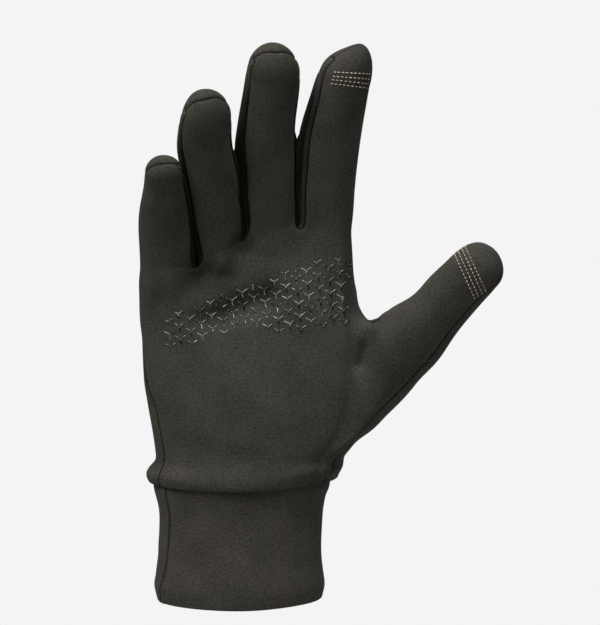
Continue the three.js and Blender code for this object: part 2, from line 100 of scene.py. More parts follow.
SLANT_DONE = 0.4
BARREL_STATIONS = [0.09, 0.24, 0.40, 0.56, 0.72, 0.87, 1]
TIP_ANGLES = [58, 30]
TIP_LENGTH = 0.52
STRIP_ANGLES = [44, 40, 37, 34, 31, 26, 18, 12, 8]  # half a side strip, at each section of a digit
SLICES = 12  # of a digit's bent centre line
HIDDEN_EDGE = 0.55  # of these angles for the front edge of a finger's right strip
LOW_SHARES = [1, 1, 1, 1, 1, 0.95, 0.75, 0.4, 0.1]  # how much of its turn the thumb's lower seam keeps
OPEN_ANGLE = 25
# across, up, width, height and depth, as shares of the palm's
HOLLOWS = [
    (0.04, 0.715, 0.17, 0.085, 0.07),
    (-0.1, 0.807, 0.08, 0.03, 0.045),
    (0.55, 0.49, 0.04, 0.08, 0.022),
]
# up and width, as shares of the cuff's
CUFF_ROWS = [(0.09, 1.005), (0.18, 1.015), (0.34, 0.99), (0.52, 0.972), (0.72, 0.974), (0.87, 0.992)]
CUFF_TOP = 1.02
FOLD_WIDTH = 0.985
CUFF_SEAM_TURN = 26
COLUMNS_GATHER = (0.25, 1)
ROOTS_SHOW = (0.72, 1.02)
COLUMNS = 16
LEFT_EDGE = 13
ROLL_RINGS = 3  # below the palm's rows
NEIGHBOUR_GAP = 1.6
ROOT_SWELL = 0.2
BACK_CROTCH_DROP = 2

STRIPS = ["fourchette_little_ring", "fourchette_ring_middle", "fourchette_middle_index"]
PANELS = ["palm_panel", "back_panel", *STRIPS]
PALM, BACK, *STRIP_TAGS = range(len(PANELS))
LEVELS = 3  # of subdivision
FIT_ROUNDS = 4  # that bring the smooth surface back onto the cage's points


def mix(a, b, share):
    return a + (b - a) * share


def smoothstep(low, high, value):
    t = np.clip((value - low) / (high - low), 0, 1)
    return t * t * (3 - 2 * t)


def unit(vectors):
    return vectors / np.maximum(np.linalg.norm(vectors, axis=-1, keepdims=True), 1e-12)


def round_point(degrees, roundness):
    c = math.cos(degrees * RAD)
    s = math.sin(degrees * RAD)
    power = 2 / roundness
    return math.copysign(abs(c) ** power, c), math.copysign(abs(s) ** power, s)


# The cage of the whole outer surface: points, faces and, at each point, the knit's coordinates across and
# along the wales on the palm and on the back, and the number of the digit that it belongs to
points = []
knit = []
faces = []
tags = []


def add_points(places, fronts, backs, digit=0):
    first = len(points)
    points.extend(np.asarray(p, float) for p in places)
    knit.extend((*f, *b, digit) for f, b in zip(fronts, backs))
    return list(range(first, len(points)))


def add_face(tag, *corners):
    faces.append(corners)
    tags.append(tag)


def digit_frame(lean, curl):
    cl, sl = math.cos(lean * RAD), math.sin(lean * RAD)
    cc, sc = math.cos(curl * RAD), math.sin(curl * RAD)
    side = np.array([cl, 0, -sl])
    back = np.array([sc * sl, cc, sc * cl])
    along = np.array([cc * sl, -sc, cc * cl])
    return side, back, along


def digit_at(digit, root, distance):
    length = digit["length"] * FINGER_LENGTH
    centre = np.array(root, float)
    for i in range(SLICES):
        share = (i + 0.5) / SLICES * distance / length
        centre += digit_frame(mix(*digit["lean"], share), mix(*digit["curl"], share))[2] * distance / SLICES
    t = distance / length
    side, back, along = digit_frame(mix(*digit["lean"], t), mix(*digit["curl"], t))
    ends = digit["base"] * (1 - t) * (1 - 2 * t) + digit["tip"] * t * (2 * t - 1)
    width = ends + digit["middle"] * 4 * t * (1 - t)
    return dict(centre=centre, side=side, back=back, along=along, wide=width * FINGER_WIDTH / 2,
                deep=width * FINGER_DEPTH / 2, roll=digit["roll"] * smoothstep(0, ROLL_DONE, t),
                tilt=digit["tilt"], skew=digit["skew"], lean=mix(*digit["lean"], t) * RAD)


def reach_toward(at, direction):
    return 1 / math.hypot(direction @ at["side"] / at["wide"], direction @ at["back"] / at["deep"])


def section_at_height(digit, root, height):
    length = digit["length"] * FINGER_LENGTH
    if height < root[2] or height > digit_at(digit, root, length)["centre"][2]:
        return None
    low, high = 0, length
    for _ in range(12):
        half = (low + high) / 2
        if digit_at(digit, root, half)["centre"][2] < height:
            low = half
        else:
            high = half
    return digit_at(digit, root, low)


def press_flat(ring, at, neighbours):
    for digit, root in neighbours:
        other = section_at_height(digit, root, at["centre"][2])
        if other is None:
            continue
        toward = other["centre"] - at["centre"]
        apart = np.linalg.norm(toward)
        toward = toward / apart
        own = reach_toward(at, toward)
        shared = apart * own / (own + reach_toward(other, toward)) - NEIGHBOUR_GAP / 2
        for point in ring:
            past = (point - at["centre"]) @ toward - shared
            if past > 0:
                point -= toward * past


# A digit's ring has 12 points: 0 at its left, 1 to 5 on its front, 6 at its right and 7 to 11 on its back
def digit_angles(left, right, low=0, hidden=1):
    front = [mix(180 + left, 360 - low - right * hidden, i / 4) for i in range(5)]
    back = [mix(right - low, 180 - left, i / 4) for i in range(5)]
    return [180, *front, 360 - low, *back]


def place_at(at, x, y, z):
    return at["centre"] + at["side"] * x + at["back"] * y + at["along"] * z


def barrel_ring(at, angles, slant=0):
    ring = []
    for angle in angles:
        x, y = round_point(angle + at["roll"], FINGER_ROUNDNESS)
        across = x * at["wide"]
        ring.append(place_at(at, across, y * at["deep"], -across * math.tan(slant * RAD)))
    return ring


def tip_point(at, tip_length, polar, angle):
    x, y = round_point(angle + at["roll"], FINGER_ROUNDNESS)
    around = math.sin(polar * RAD)
    up = math.cos(polar * RAD)
    tilt = at["tilt"] * RAD * (1 - polar / 90)
    depth = y * around * math.cos(tilt) - up * math.sin(tilt)
    height = y * around * math.sin(tilt) + up * math.cos(tilt)
    across = x * around + at["skew"] * height ** 2
    return place_at(at, across * at["wide"], depth * at["deep"], height * tip_length)


def join_rings(lower, upper, left, right):
    panels = [PALM if left is None else left, PALM, PALM, PALM, PALM, PALM if right is None else right]
    panels += [BACK if right is None else right, BACK, BACK, BACK, BACK, BACK if left is None else left]
    for i, panel in enumerate(panels):
        after = (i + 1) % len(panels)
        add_face(panel, lower[i], lower[after], upper[after], upper[i])


def lengths_from(places, start):
    """Signed length along a row of places, from the one at start."""
    steps = [0.0]
    for a, b in zip(places, places[1:]):
        steps.append(steps[-1] + float(np.linalg.norm(np.asarray(b) - np.asarray(a))))
    return [s - steps[start] for s in steps]


def loop_knit(front, back, front_middle, back_middle, front_turn=0.0, back_turn=0.0):
    """Knit coordinates on the palm and on the back for two rows of places between the same two side seams.

    Each is counted from the place in the middle of its row, and goes on past the seams. A turn, in radians,
    is how far the row runs down toward the thumb while the wales stay upright.
    """
    half = len(front) // 2

    def lay(own, other, middle, turn):
        steps = lengths_from(own, half)
        past_left = lengths_from(other, 0)
        past_right = lengths_from(other, len(other) - 1)
        around = [steps[0] - s if i <= half else steps[-1] - t
                  for i, (s, t) in enumerate(zip(past_left, past_right))]
        c, d = math.cos(turn), math.sin(turn)
        return ([(middle[0] + s * c, middle[1] - s * d) for s in steps],
                [(middle[0] + s * c, middle[1] - s * d) for s in around])

    on_front, front_past = lay(front, back, front_middle, front_turn)
    on_back, back_past = lay(back, front, back_middle, back_turn)
    return on_front, front_past, on_back, back_past


def ring_knit(ring, front_middle, back_middle, turn):
    on_front, front_past, on_back, back_past = loop_knit(
        ring[0:7], [ring[i] for i in (0, 11, 10, 9, 8, 7, 6)], front_middle, back_middle, turn, turn)
    return on_front + front_past[5:0:-1], [on_back[0], *back_past[1:6], on_back[6], *on_back[5:0:-1]]


def half_way(start, leaving, end, arriving):
    reach = np.linalg.norm(end - start) / 8
    return (start + end) / 2 + leaving * reach - arriving * reach


digit_tips = []


def add_digit(digit, root, root_ring, left=None, right=None, neighbours=(), leaving=None):
    number = len(digit_tips) + 1
    tip_length = digit["tip"] * digit.get("point", 1) * FINGER_WIDTH * TIP_LENGTH
    length = digit["length"] * FINGER_LENGTH
    barrel = length - tip_length
    front_root = np.array(knit[root_ring[3]][0:2])
    back_root = np.array(knit[root_ring[9]][2:4])
    low_turn = digit.get("seam_turn")
    lower = root_ring

    def angles_at(i, at):
        strip = STRIP_ANGLES[i]
        open_angle = OPEN_ANGLE if low_turn else max(OPEN_ANGLE, strip)
        return digit_angles(open_angle if left is None else strip, open_angle if right is None else strip,
                            low_turn * LOW_SHARES[i] + at["roll"] if low_turn else 0,
                            1 if right is None else HIDDEN_EDGE)

    def travel(distance):
        """How the knit's coordinates change along the digit's centre line."""
        steps = [mix(*digit["lean"], (i + 0.5) / SLICES * distance / length) * RAD for i in range(SLICES)]
        return np.array([sum(map(math.sin, steps)), sum(map(math.cos, steps))]) * distance / SLICES

    def join(ring, distance, lean, strips=(left, right)):
        nonlocal lower
        moved = travel(distance)
        upper = add_points(ring, *ring_knit(ring, front_root + moved, back_root + moved, lean), number)
        join_rings(lower, upper, *strips)
        lower = upper

    if "slant" in digit:
        start = digit_at(digit, root, 0)
        first = barrel_ring(start, angles_at(0, start), digit["slant"])
        middle = [half_way(points[root_ring[i]], leaving[i], p, start["along"]) for i, p in enumerate(first)]
        front_root = front_root + (first[3] - points[root_ring[3]])[[0, 2]]
        back_root = back_root + (first[9] - points[root_ring[9]])[[0, 2]]
        from_root = np.array([knit[i][0:4] for i in root_ring])
        on_front, on_back = ring_knit(first, front_root, back_root, start["lean"])
        half = (from_root + np.hstack([on_front, on_back])) / 2
        upper = add_points(middle, half[:, 0:2].tolist(), half[:, 2:4].tolist(), number)
        join_rings(lower, upper, left, right)
        lower = upper
        join(first, 0, start["lean"])
    for i, share in enumerate(BARREL_STATIONS):
        slant = digit.get("slant", 0) * max(0, 1 - share / SLANT_DONE)
        at = digit_at(digit, root, share * barrel)
        ring = barrel_ring(at, angles_at(i, at), slant)
        press_flat(ring, at, neighbours)
        join(ring, share * barrel, at["lean"])
    tip = digit_at(digit, root, barrel)
    for i, polar in enumerate(TIP_ANGLES):
        angles = angles_at(len(BARREL_STATIONS) + i, tip)
        # the strips end at the first of these rings
        join([tip_point(tip, tip_length, polar, a) for a in angles],
             barrel + (90 - polar) * RAD * tip_length, tip["lean"], (left, right) if i == 0 else (None, None))
    inner = TIP_ANGLES[-1] / 2
    low_angle = angles_at(len(STRIP_ANGLES) - 1, tip)[6]
    cap = [tip_point(tip, tip_length, polar, a) for polar, a in ((inner, 180), (0, 0), (inner, low_angle))]
    top_knit = travel(barrel + tip_length * 1.5)
    turned = np.array([math.cos(tip["lean"]), -math.sin(tip["lean"])])
    spread = [top_knit + turned * s for s in lengths_from(cap, 1)]
    l, m, r = add_points(cap, [front_root + k for k in spread], [back_root + k for k in spread], number)
    ring = lower
    add_face(PALM, ring[0], ring[1], ring[2], l)
    add_face(PALM, l, ring[2], ring[3], m)
    add_face(PALM, m, ring[3], ring[4], r)
    add_face(PALM, r, ring[4], ring[5], ring[6])
    add_face(BACK, ring[0], l, ring[10], ring[11])
    add_face(BACK, l, m, ring[9], ring[10])
    add_face(BACK, m, r, ring[8], ring[9])
    add_face(BACK, r, ring[6], ring[7], ring[8])
    digit_tips.append((tip, tip_length, digit.get("taper", 2)))


def cuff_point(angle, width, outset):
    x, y = round_point(angle, CUFF_ROUNDNESS)
    return x * (CUFF_WIDTH * width / 2 + outset), y * (CUFF_DEPTH * width / 2 + outset)


def ring_angles(row):
    left_turn, turn, edge, behind = row[5:]
    front = [mix(180 + left_turn + LEFT_EDGE, 360 - edge, i / COLUMNS) for i in range(COLUMNS + 1)]
    back = [mix(180 + left_turn - LEFT_EDGE, behind, i / COLUMNS) for i in range(COLUMNS + 1)]
    return 180 + left_turn, front, -turn, back


def crotch_at(i):
    return CROTCHES[i][0] * PALM_WIDTH, CUFF_HEIGHT + CROTCHES[i][1] * PALM_HEIGHT


roots = []
top_rings = []
for i, finger in enumerate(FINGERS):
    (lx, lz), (rx, rz) = crotch_at(i), crotch_at(i + 1)
    root = np.array([(lx + rx) / 2, -finger["ahead"] * FINGER_DEPTH, (lz + rz) / 2])
    roots.append(root)
    ring = []
    for angle in digit_angles(STRIP_ANGLES[0], STRIP_ANGLES[0]):
        x, y = round_point(angle, FINGER_ROUNDNESS)
        depth = finger["base"] * FINGER_DEPTH / 2 + ROOT_SWELL
        ring.append(np.array([root[0] + x * (rx - lx) / 2, root[1] + y * depth, mix(lz, rz, (x + 1) / 2)]))
    top_rings.append(ring)
top_front = [None] * (COLUMNS + 1)
top_back = [None] * (COLUMNS + 1)
for i, ring in enumerate(top_rings):
    for k in range(5):
        column = 4 * i + k
        shared = k == 0 and i > 0
        behind = ring[11 - k]
        top_front[column] = (top_front[column] + ring[1 + k]) / 2 if shared else ring[1 + k].copy()
        top_back[column] = (top_back[column] + behind) / 2 if shared else behind.copy()
top_middles = []
for i in (1, 2, 3):
    x, z = crotch_at(i)
    front, back = top_front[4 * i], top_back[4 * i]
    front[0] = back[0] = x
    front[2] = z
    back[2] = z - BACK_CROTCH_DROP
    top_middles.append(np.array([x, (front[1] + back[1]) / 2, z - BACK_CROTCH_DROP / 2]))
top_left, top_right = top_rings[0][0], top_rings[3][6]


def palm_ring(row):
    up, left, right, front_depth, back_depth = row[:5]
    left *= PALM_WIDTH
    right *= PALM_WIDTH
    half_width = (right - left) / 2
    middle = (left + right) / 2
    sideways = smoothstep(*COLUMNS_GATHER, up)
    inward = smoothstep(*ROOTS_SHOW, up)

    def place(angle, above):
        x, y = round_point(angle, PALM_ROUNDNESS)
        across = mix(middle + x * half_width, above[0], sideways)
        u = min(1, abs((across - middle) / half_width))
        bulge = (1 - u ** PALM_ROUNDNESS) ** (1 / PALM_ROUNDNESS)
        depth = -bulge * front_depth * PALM_DEPTH if y < 0 else bulge * back_depth * PALM_DEPTH
        rise = CUFF_HEIGHT + up * (above[2] - CUFF_HEIGHT)
        point = np.array([across, mix(depth, above[1], inward), rise])
        for hx, hz, wide, high, deep in HOLLOWS:
            dx = (point[0] / PALM_WIDTH - hx) / wide
            dz = ((point[2] - CUFF_HEIGHT) / PALM_HEIGHT - hz) / high
            if y < 0:
                point[1] += deep * PALM_DEPTH * math.exp(-dx * dx - dz * dz)
        return point

    def side(angle, above, extreme):
        point = place(angle, above)
        x, y = round_point(angle, PALM_ROUNDNESS)
        point[0] = mix(middle + x * half_width, extreme, min(sideways, 1 - abs(y)))
        return point

    left_angle, front, right_angle, back = ring_angles(row)
    return (side(left_angle, top_left, left), [place(a, top_front[i]) for i, a in enumerate(front)],
            side(right_angle, top_right, right), [place(a, top_back[i]) for i, a in enumerate(back)])


def roll_ring(outset, height):
    left, front, right, back = ring_angles(PALM_ROWS[0])

    def place(angle):
        fuller = THUMB_SIDE_FULLER * max(0, math.cos(angle * RAD)) ** 4 * (outset > BODY_WALL)
        return np.array([*cuff_point(angle, 1, outset + fuller), height])

    return place(left), [place(a) for a in front], place(right), [place(a) for a in back]


seam_height = CUFF_HEIGHT + SEAM_GAP
palm_rings = [
    roll_ring(SEAM_GAP, seam_height + ROLL_DROP),
    roll_ring(BODY_WALL + ROLL_CLEARANCE, seam_height),
    roll_ring(ROLL_OUT, seam_height + ROLL_DROP * ROLL_BELLY),
    *[palm_ring(row) for row in PALM_ROWS],
    (top_left, top_front, top_right, top_back),
]
thumb_start = THUMB_ROWS[0] + ROLL_RINGS
thumb_end = THUMB_ROWS[1] + ROLL_RINGS
rings = []
for row, (left, front, right, back) in enumerate(palm_rings):
    # the roll's rings run with the wales of the palm's first row
    knit_left, knit_front, knit_right, knit_back = palm_rings[max(row, ROLL_RINGS)]
    front_row = [knit_left, *knit_front, knit_right]
    back_row = [knit_left, *knit_back, knit_right]
    middle_column = COLUMNS // 2
    on_front, front_past, on_back, back_past = loop_knit(
        front_row, back_row, (knit_front[middle_column][0], 0), (knit_back[middle_column][0], 0))

    def tall(pairs, places):
        return [(across, place[2]) for (across, _), place in zip(pairs, places)]

    front_places = [left, *front, right]
    back_places = [left, *back, right]
    on_front, front_past = tall(on_front, front_places), tall(front_past, back_places)
    on_back, back_past = tall(on_back, back_places), tall(back_past, front_places)
    ids = dict(left=add_points([left], on_front[:1], on_back[:1])[0],
               front=add_points(front, on_front[1:-1], back_past[1:-1]), right=None)
    if not thumb_start < row < thumb_end:
        ids["right"] = add_points([right], on_front[-1:], on_back[-1:])[0]
    ids["back"] = add_points(back, front_past[1:-1], on_back[1:-1])
    rings.append(ids)

for row in range(len(rings) - 1):
    low, high = rings[row], rings[row + 1]
    lf, hf, lb, hb = low["front"], high["front"], low["back"], high["back"]
    add_face(PALM, low["left"], lf[0], hf[0], high["left"])
    add_face(BACK, lb[0], low["left"], high["left"], hb[0])
    for i in range(COLUMNS):
        add_face(PALM, lf[i], lf[i + 1], hf[i + 1], hf[i])
        add_face(BACK, lb[i + 1], lb[i], hb[i], hb[i + 1])
    if row < thumb_start or row >= thumb_end:
        add_face(PALM, lf[COLUMNS], low["right"], high["right"], hf[COLUMNS])
        add_face(BACK, low["right"], lb[COLUMNS], hb[COLUMNS], high["right"])

top_ids = rings[-1]
middle_ids = [top_ids["left"]]
for i, place in enumerate(top_middles):
    front, back = knit[top_ids["front"][4 * (i + 1)]], knit[top_ids["back"][4 * (i + 1)]]
    middle_ids += add_points([place], [front[0:2]], [back[2:4]])
middle_ids.append(top_ids["right"])
for i, finger in enumerate(FINGERS):
    front = top_ids["front"][4 * i:4 * i + 5]
    back = top_ids["back"][4 * i:4 * i + 5][::-1]
    ring = [middle_ids[i], *front, middle_ids[i + 1], *back]
    neighbours = [(FINGERS[k], roots[k]) for k in (i - 1, i + 1) if 0 <= k < 4]
    add_digit(finger, roots[i], ring, left=1 + i if i > 0 else None, right=2 + i if i < 3 else None,
              neighbours=neighbours)


def direction(start, end):
    return unit(points[end] - points[start])


thumb_rings = rings[thumb_start:thumb_end + 1]
thumb_root = [rings[thumb_end]["right"], *[r["front"][COLUMNS] for r in thumb_rings][::-1],
              rings[thumb_start]["right"], *[r["back"][COLUMNS] for r in thumb_rings]]
thumb_place = np.array([THUMB["across"] * PALM_WIDTH, -THUMB["ahead"] * FINGER_DEPTH,
                        CUFF_HEIGHT + THUMB["up"] * PALM_HEIGHT])
thumb_leaving = [
    direction(rings[thumb_end + 1]["right"], rings[thumb_end]["right"]),
    *[direction(r["front"][COLUMNS - 1], r["front"][COLUMNS]) for r in thumb_rings][::-1],
    direction(rings[thumb_start - 1]["right"], rings[thumb_start]["right"]),
    *[direction(r["back"][COLUMNS - 1], r["back"][COLUMNS]) for r in thumb_rings],
]
add_digit(THUMB, thumb_place, thumb_root, leaving=thumb_leaving)


# Subdivision of a mesh of quads
def mesh_edges(quads):
    pairs = np.stack([quads, np.roll(quads, -1, 1)], -1).reshape(-1, 2)
    edges, index, count = np.unique(np.sort(pairs, 1), axis=0, return_inverse=True, return_counts=True)
    return edges, index.reshape(-1, 4), count


def gather(size, index, values):
    total = np.zeros((size, values.shape[1]))
    np.add.at(total, index, values)
    return total


def subdivide(values, quads, labels):
    edges, index, count = mesh_edges(quads)
    size = len(values)
    centres = values[quads].mean(1)
    ends = values[edges].sum(1)
    beside = gather(len(edges), index.ravel(), np.repeat(centres, 4, 0))
    border = count == 1
    edge_points = np.where(border[:, None], ends / 2, (ends + beside) / 4)
    valence = np.bincount(edges.ravel(), minlength=size)[:, None]
    face_count = np.bincount(quads.ravel(), minlength=size)[:, None]
    face_mean = gather(size, quads.ravel(), np.repeat(centres, 4, 0)) / face_count
    edge_mean = gather(size, edges.ravel(), np.repeat(ends / 2, 2, 0)) / valence
    moved = (face_mean + 2 * edge_mean + (valence - 3) * values) / valence
    rim = np.unique(edges[border])
    rim_sum = gather(size, edges[border].ravel(), np.repeat(ends[border] / 2, 2, 0))
    moved[rim] = values[rim] / 2 + rim_sum[rim] / 4
    corner = quads
    after = size + index
    before = size + np.roll(index, 1, 1)
    middle = np.repeat(size + len(edges) + np.arange(len(quads))[:, None], 4, 1)
    finer = np.stack([corner, after, middle, before], -1).reshape(-1, 4)
    return np.vstack([moved, edge_points, centres]), finer, np.repeat(labels, 4)


def limit_places(values, quads):
    """Where the endlessly subdivided surface passes the cage's own points."""
    edges, _, count = mesh_edges(quads)
    size = len(values)
    valence = np.bincount(edges.ravel(), minlength=size)[:, None]
    beside = gather(size, edges.ravel(), values[edges[:, ::-1]].reshape(-1, values.shape[1]))
    across = gather(size, quads.ravel(), values[np.roll(quads, 2, 1)].reshape(-1, values.shape[1]))
    limit = (valence ** 2 * values + 4 * beside + across) / (valence * (valence + 5))
    rim_edges = edges[count == 1]
    rim = np.unique(rim_edges)
    rim_sum = gather(size, rim_edges.ravel(), values[rim_edges[:, ::-1]].reshape(-1, values.shape[1]))
    limit[rim] = (4 * values[rim] + rim_sum[rim]) / 6
    return limit


def smooth_surface(values, quads, labels, levels=LEVELS):
    target = values.copy()
    for _ in range(FIT_ROUNDS):
        values = values + target - limit_places(values, quads)
    for _ in range(levels):
        values, quads, labels = subdivide(values, quads, labels)
    return values, quads, labels


def surface_normals(places, quads):
    a, b, c, d = (places[quads[:, i]] for i in range(4))
    flat = np.cross(c - a, d - b)
    return unit(gather(len(places), quads.ravel(), np.repeat(flat, 4, 0)))


def seam_corners(quads, labels, one, other):
    """Points of the seam between two groups of panels."""
    edges, index, count = mesh_edges(quads)
    low = np.full(len(edges), 99)
    high = np.full(len(edges), -1)
    np.minimum.at(low, index.ravel(), np.repeat(labels, 4))
    np.maximum.at(high, index.ravel(), np.repeat(labels, 4))
    return np.unique(edges[np.isin(low, one) & np.isin(high, other) & (low != high)])


def distances_to(places, targets):
    tree = KDTree(len(targets))
    for i, p in enumerate(targets):
        tree.insert(p, i)
    tree.balance()
    return np.array([tree.find(p)[2] for p in places])


cage = np.hstack([np.array(points), np.array(knit)])
body, body_quads, body_tags = smooth_surface(cage, np.array(faces), np.array(tags))
smooth = body[:, :3].copy()
body_digit = body[:, 7]


def relax(places, weight, rounds):
    """Evens out the surface where the weight is above zero."""
    chosen = weight > 0.005
    edges = mesh_edges(body_quads)[0]
    edges = edges[chosen[edges].any(1)]
    ends = edges.ravel()
    count = np.maximum(np.bincount(ends, minlength=len(places)), 1)
    for _ in range(rounds):
        across = places[edges[:, ::-1]].reshape(-1, 3)
        mean = np.stack([np.bincount(ends, across[:, k], len(places)) for k in range(3)], 1) / count[:, None]
        places[chosen] += (mean[chosen] - places[chosen]) * weight[chosen, None]
    return places


TIP_BLEND = (-0.15, 0.2)  # where the round form begins and is full, as shares of the tip's length


def round_tips(places):
    """Brings the tips of the digits onto their round form, and says how near each point is to a tip."""
    at_tip = np.zeros(len(places))
    for number, (at, tip_length, taper) in enumerate(digit_tips, 1):
        offset = places - at["centre"]
        up = offset @ at["along"] / tip_length
        across = offset @ at["side"] / at["wide"] - at["skew"] * np.maximum(up, 0) ** 2
        through = offset @ at["back"] / at["deep"]
        power = FINGER_ROUNDNESS
        section = (np.abs(across) ** power + np.abs(through) ** power) ** (1 / power)
        size = (section ** taper + np.maximum(up, 0) ** taper) ** (1 / taper)
        chosen = np.flatnonzero((np.abs(body_digit - number) < 1e-6) & (up > TIP_BLEND[0]))
        across, through, up, size = across[chosen], through[chosen], up[chosen], size[chosen]
        share = smoothstep(*TIP_BLEND, up)
        across, through, height = across / size, through / size, up / size
        place = (at["centre"] + np.outer((across + at["skew"] * height ** 2) * at["wide"], at["side"])
                 + np.outer(through * at["deep"], at["back"]) + np.outer(height * tip_length, at["along"]))
        places[chosen] = mix(places[chosen], place, share[:, None])
        at_tip[chosen] = smoothstep(0, 0.3, up)
    return at_tip


for _ in range(4):
    at_tip = round_tips(smooth)
    smooth = relax(smooth, at_tip * 0.5, 6)
round_tips(smooth)

# Distances to the seams: between palm and back, and at the palm's and the back's edge of the side strips
side_seam = distances_to(smooth, smooth[seam_corners(body_quads, body_tags, [PALM], [BACK])])
front_seam = distances_to(smooth, smooth[seam_corners(body_quads, body_tags, [PALM], STRIP_TAGS)])
back_seam = distances_to(smooth, smooth[seam_corners(body_quads, body_tags, [BACK], STRIP_TAGS)])
on_strip = [np.unique(body_quads[body_tags == tag]) for tag in STRIP_TAGS]
own_strip = np.zeros(len(smooth), bool)
own_strip[np.concatenate(on_strip)] = True


def add_object(name, data):
    obj = bpy.data.objects.new(name, data)
    bpy.context.scene.collection.objects.link(obj)
    return obj


# The camera stands where the photograph was taken from
TARGET = np.array([26.84, 0, 129.14])
DISTANCE = 1000
ELEVATION = 6
PIXEL = 0.44  # millimetres at the target
IMAGE_WIDTH = 600
IMAGE_HEIGHT = 625
SENSOR = 36
look = np.array([0, math.cos(ELEVATION * RAD), -math.sin(ELEVATION * RAD)])
up_axis = np.array([0, math.sin(ELEVATION * RAD), math.cos(ELEVATION * RAD)])
eye = TARGET - look * DISTANCE

camera_data = bpy.data.cameras.new("camera")
camera_data.sensor_fit = "AUTO"
camera_data.sensor_width = SENSOR
camera_data.lens = SENSOR * DISTANCE / (IMAGE_HEIGHT * PIXEL)
camera_data.clip_start = 0.01
camera = add_object("camera", camera_data)
camera.location = eye * MM
camera.rotation_euler = ((90 - ELEVATION) * RAD, 0, 0)
bpy.context.scene.camera = camera


def from_middle(px, py):
    """How many pixels right of the picture's middle and above it a pixel lies."""
    return px - IMAGE_WIDTH / 2, IMAGE_HEIGHT / 2 - py


def band(value, start, full, fading, end):
    """1 in a band of values, with soft ends."""
    return smoothstep(start, full, value) * (1 - smoothstep(fading, end, value))


SEAM_RISE = (2.4, 0.8)  # on the thumb's side, and on the far side
HEM_RISE = (1.6, 0.7)
RISE_REACH = 14


def settle(places):
    """As worn, the cuff's top and bottom edges ride up toward the thumb, and its top leans that way."""
    x, z = places[:, 0], places[:, 2]
    thumb_side = smoothstep(0, 38, x)
    far_side = smoothstep(0, -38, x)
    rise = np.zeros(len(places))
    for (thumb_rise, far_rise), edge in ((SEAM_RISE, CUFF_HEIGHT), (HEM_RISE, 0)):
        rise += (thumb_rise * thumb_side + far_rise * far_side) * np.exp(-((z - edge) / RISE_REACH) ** 2)
    near, far = smoothstep(10, 30, x), smoothstep(-10, -30, x)
    lean = smoothstep(15, 42, z) * (1 - smoothstep(56, 70, z) - 0.8 * far * smoothstep(38, 50, z))
    slack = band(z, 45, 50, 53, 58)
    drawn = band(z, 4, 12, 38, 46)
    places[:, 0] += np.maximum(lean, 0) + near * (0.9 * slack - 0.55 * drawn)
    places[:, 0] += 0.45 * far * band(z, 7, 12, 20, 27)
    places[:, 2] += rise


settle(smooth)

# Where the stretched knit draws in or fills out: the finger's number, or 0 for all that is near, a pixel, how
# far the place moves right and up, and its reach
PULLS = [
    (0, (413, 293), (1.5, -1.5), 9),
    (0, (370, 318), (1.6, 0), 6),
    (0, (437, 358), (1.1, -0.9), 10),
    (0, (392, 420), (-0.8, 0.8), 9),
    (0, (501, 290), (-0.9, 0.4), 5),
    (0, (456, 253), (-0.5, 0.5), 6),
    (0, (351, 250), (0.7, 0), 16),
    (0, (157, 420), (0.6, 0), 15),
    (0, (149, 473), (-0.9, 0), 4),
    (0, (338, 470), (0.3, -1.2), 5),
    (0, (345, 451), (0.9, -1.0), 5),
    (1, (144, 180), (1.3, 0), 9),
    (1, (149, 160), (0.6, -0.5), 6),
    (1, (139, 222), (-0.4, 0), 9),
    (2, (184, 106), (0.7, -0.4), 8),
    (2, (180, 146), (-1.3, 0), 9),
    (2, (233, 142), (-1.8, 0), 11),
    (3, (247, 90), (0.9, 0), 14),
    (3, (299, 124), (-1.5, 0), 12),
    (3, (294, 56), (-0.6, -0.4), 9),
    (3, (236, 147), (-0.6, 0), 6),
    (4, (309, 100), (1.0, 0), 13),
    (4, (359, 45), (0.7, 1.6), 5),
]
for number, (px, py), (right, up), reach in PULLS:
    across, above = from_middle(px, py)
    x, z = TARGET[0] + across * PIXEL, TARGET[2] + above * PIXEL
    share = np.exp(-((smooth[:, 0] - x) ** 2 + (smooth[:, 2] - z) ** 2) / reach ** 2)
    share *= (number == 0) | (np.abs(body_digit - number) < 0.5)
    smooth[:, 0] += right * share
    smooth[:, 2] += up * share
normals = surface_normals(smooth, body_quads)

# Where two fingers come close, the soft walls between them touch
TOUCHING = (2.0, 2.9)  # gaps below the first of these close, and between the two they narrow
LEAST_GAP = 0.2
PRESSED = 0.05  # past the middle of the gap
EDGE_KEPT = (0.3, 2.5)  # a strip's edge stays, and its wall moves in full past the second of these distances


def surface_tree(places):
    return BVHTree.FromPolygons([tuple(p) for p in places], [tuple(q) for q in body_quads.tolist()])


skin = surface_tree(smooth)
strip_edge = np.minimum(front_seam, back_seam)
for i in np.flatnonzero(own_strip & (strip_edge > EDGE_KEPT[0])):
    start = smooth[i] + normals[i] * 0.02
    gap = skin.ray_cast(Vector(start), Vector(normals[i]), TOUCHING[1])[3]
    if gap is not None and gap > LEAST_GAP:
        reach = (gap / 2 + PRESSED) * (1 - smoothstep(*TOUCHING, gap))
        smooth[i] += normals[i] * (reach * smoothstep(0, EDGE_KEPT[1], strip_edge[i]))


def nearness(places, centre, reach):
    return np.exp(-(np.linalg.norm(places - np.asarray(centre), axis=1) / reach) ** 4)


# The web and the root of the thumb are smooth
THUMB_ROOT = (54, -14, 106)
web_place = points[rings[thumb_end]["right"]] + np.array([1.5, 0, 0])
evenness = np.maximum(nearness(smooth, web_place, 8), 0.6 * nearness(smooth, THUMB_ROOT, 17))
smooth = relax(smooth, evenness * 0.5, 90)
normals = surface_normals(smooth, body_quads)


def bump(distance, centre, width):
    return np.exp(-((distance - centre) / width) ** 2)


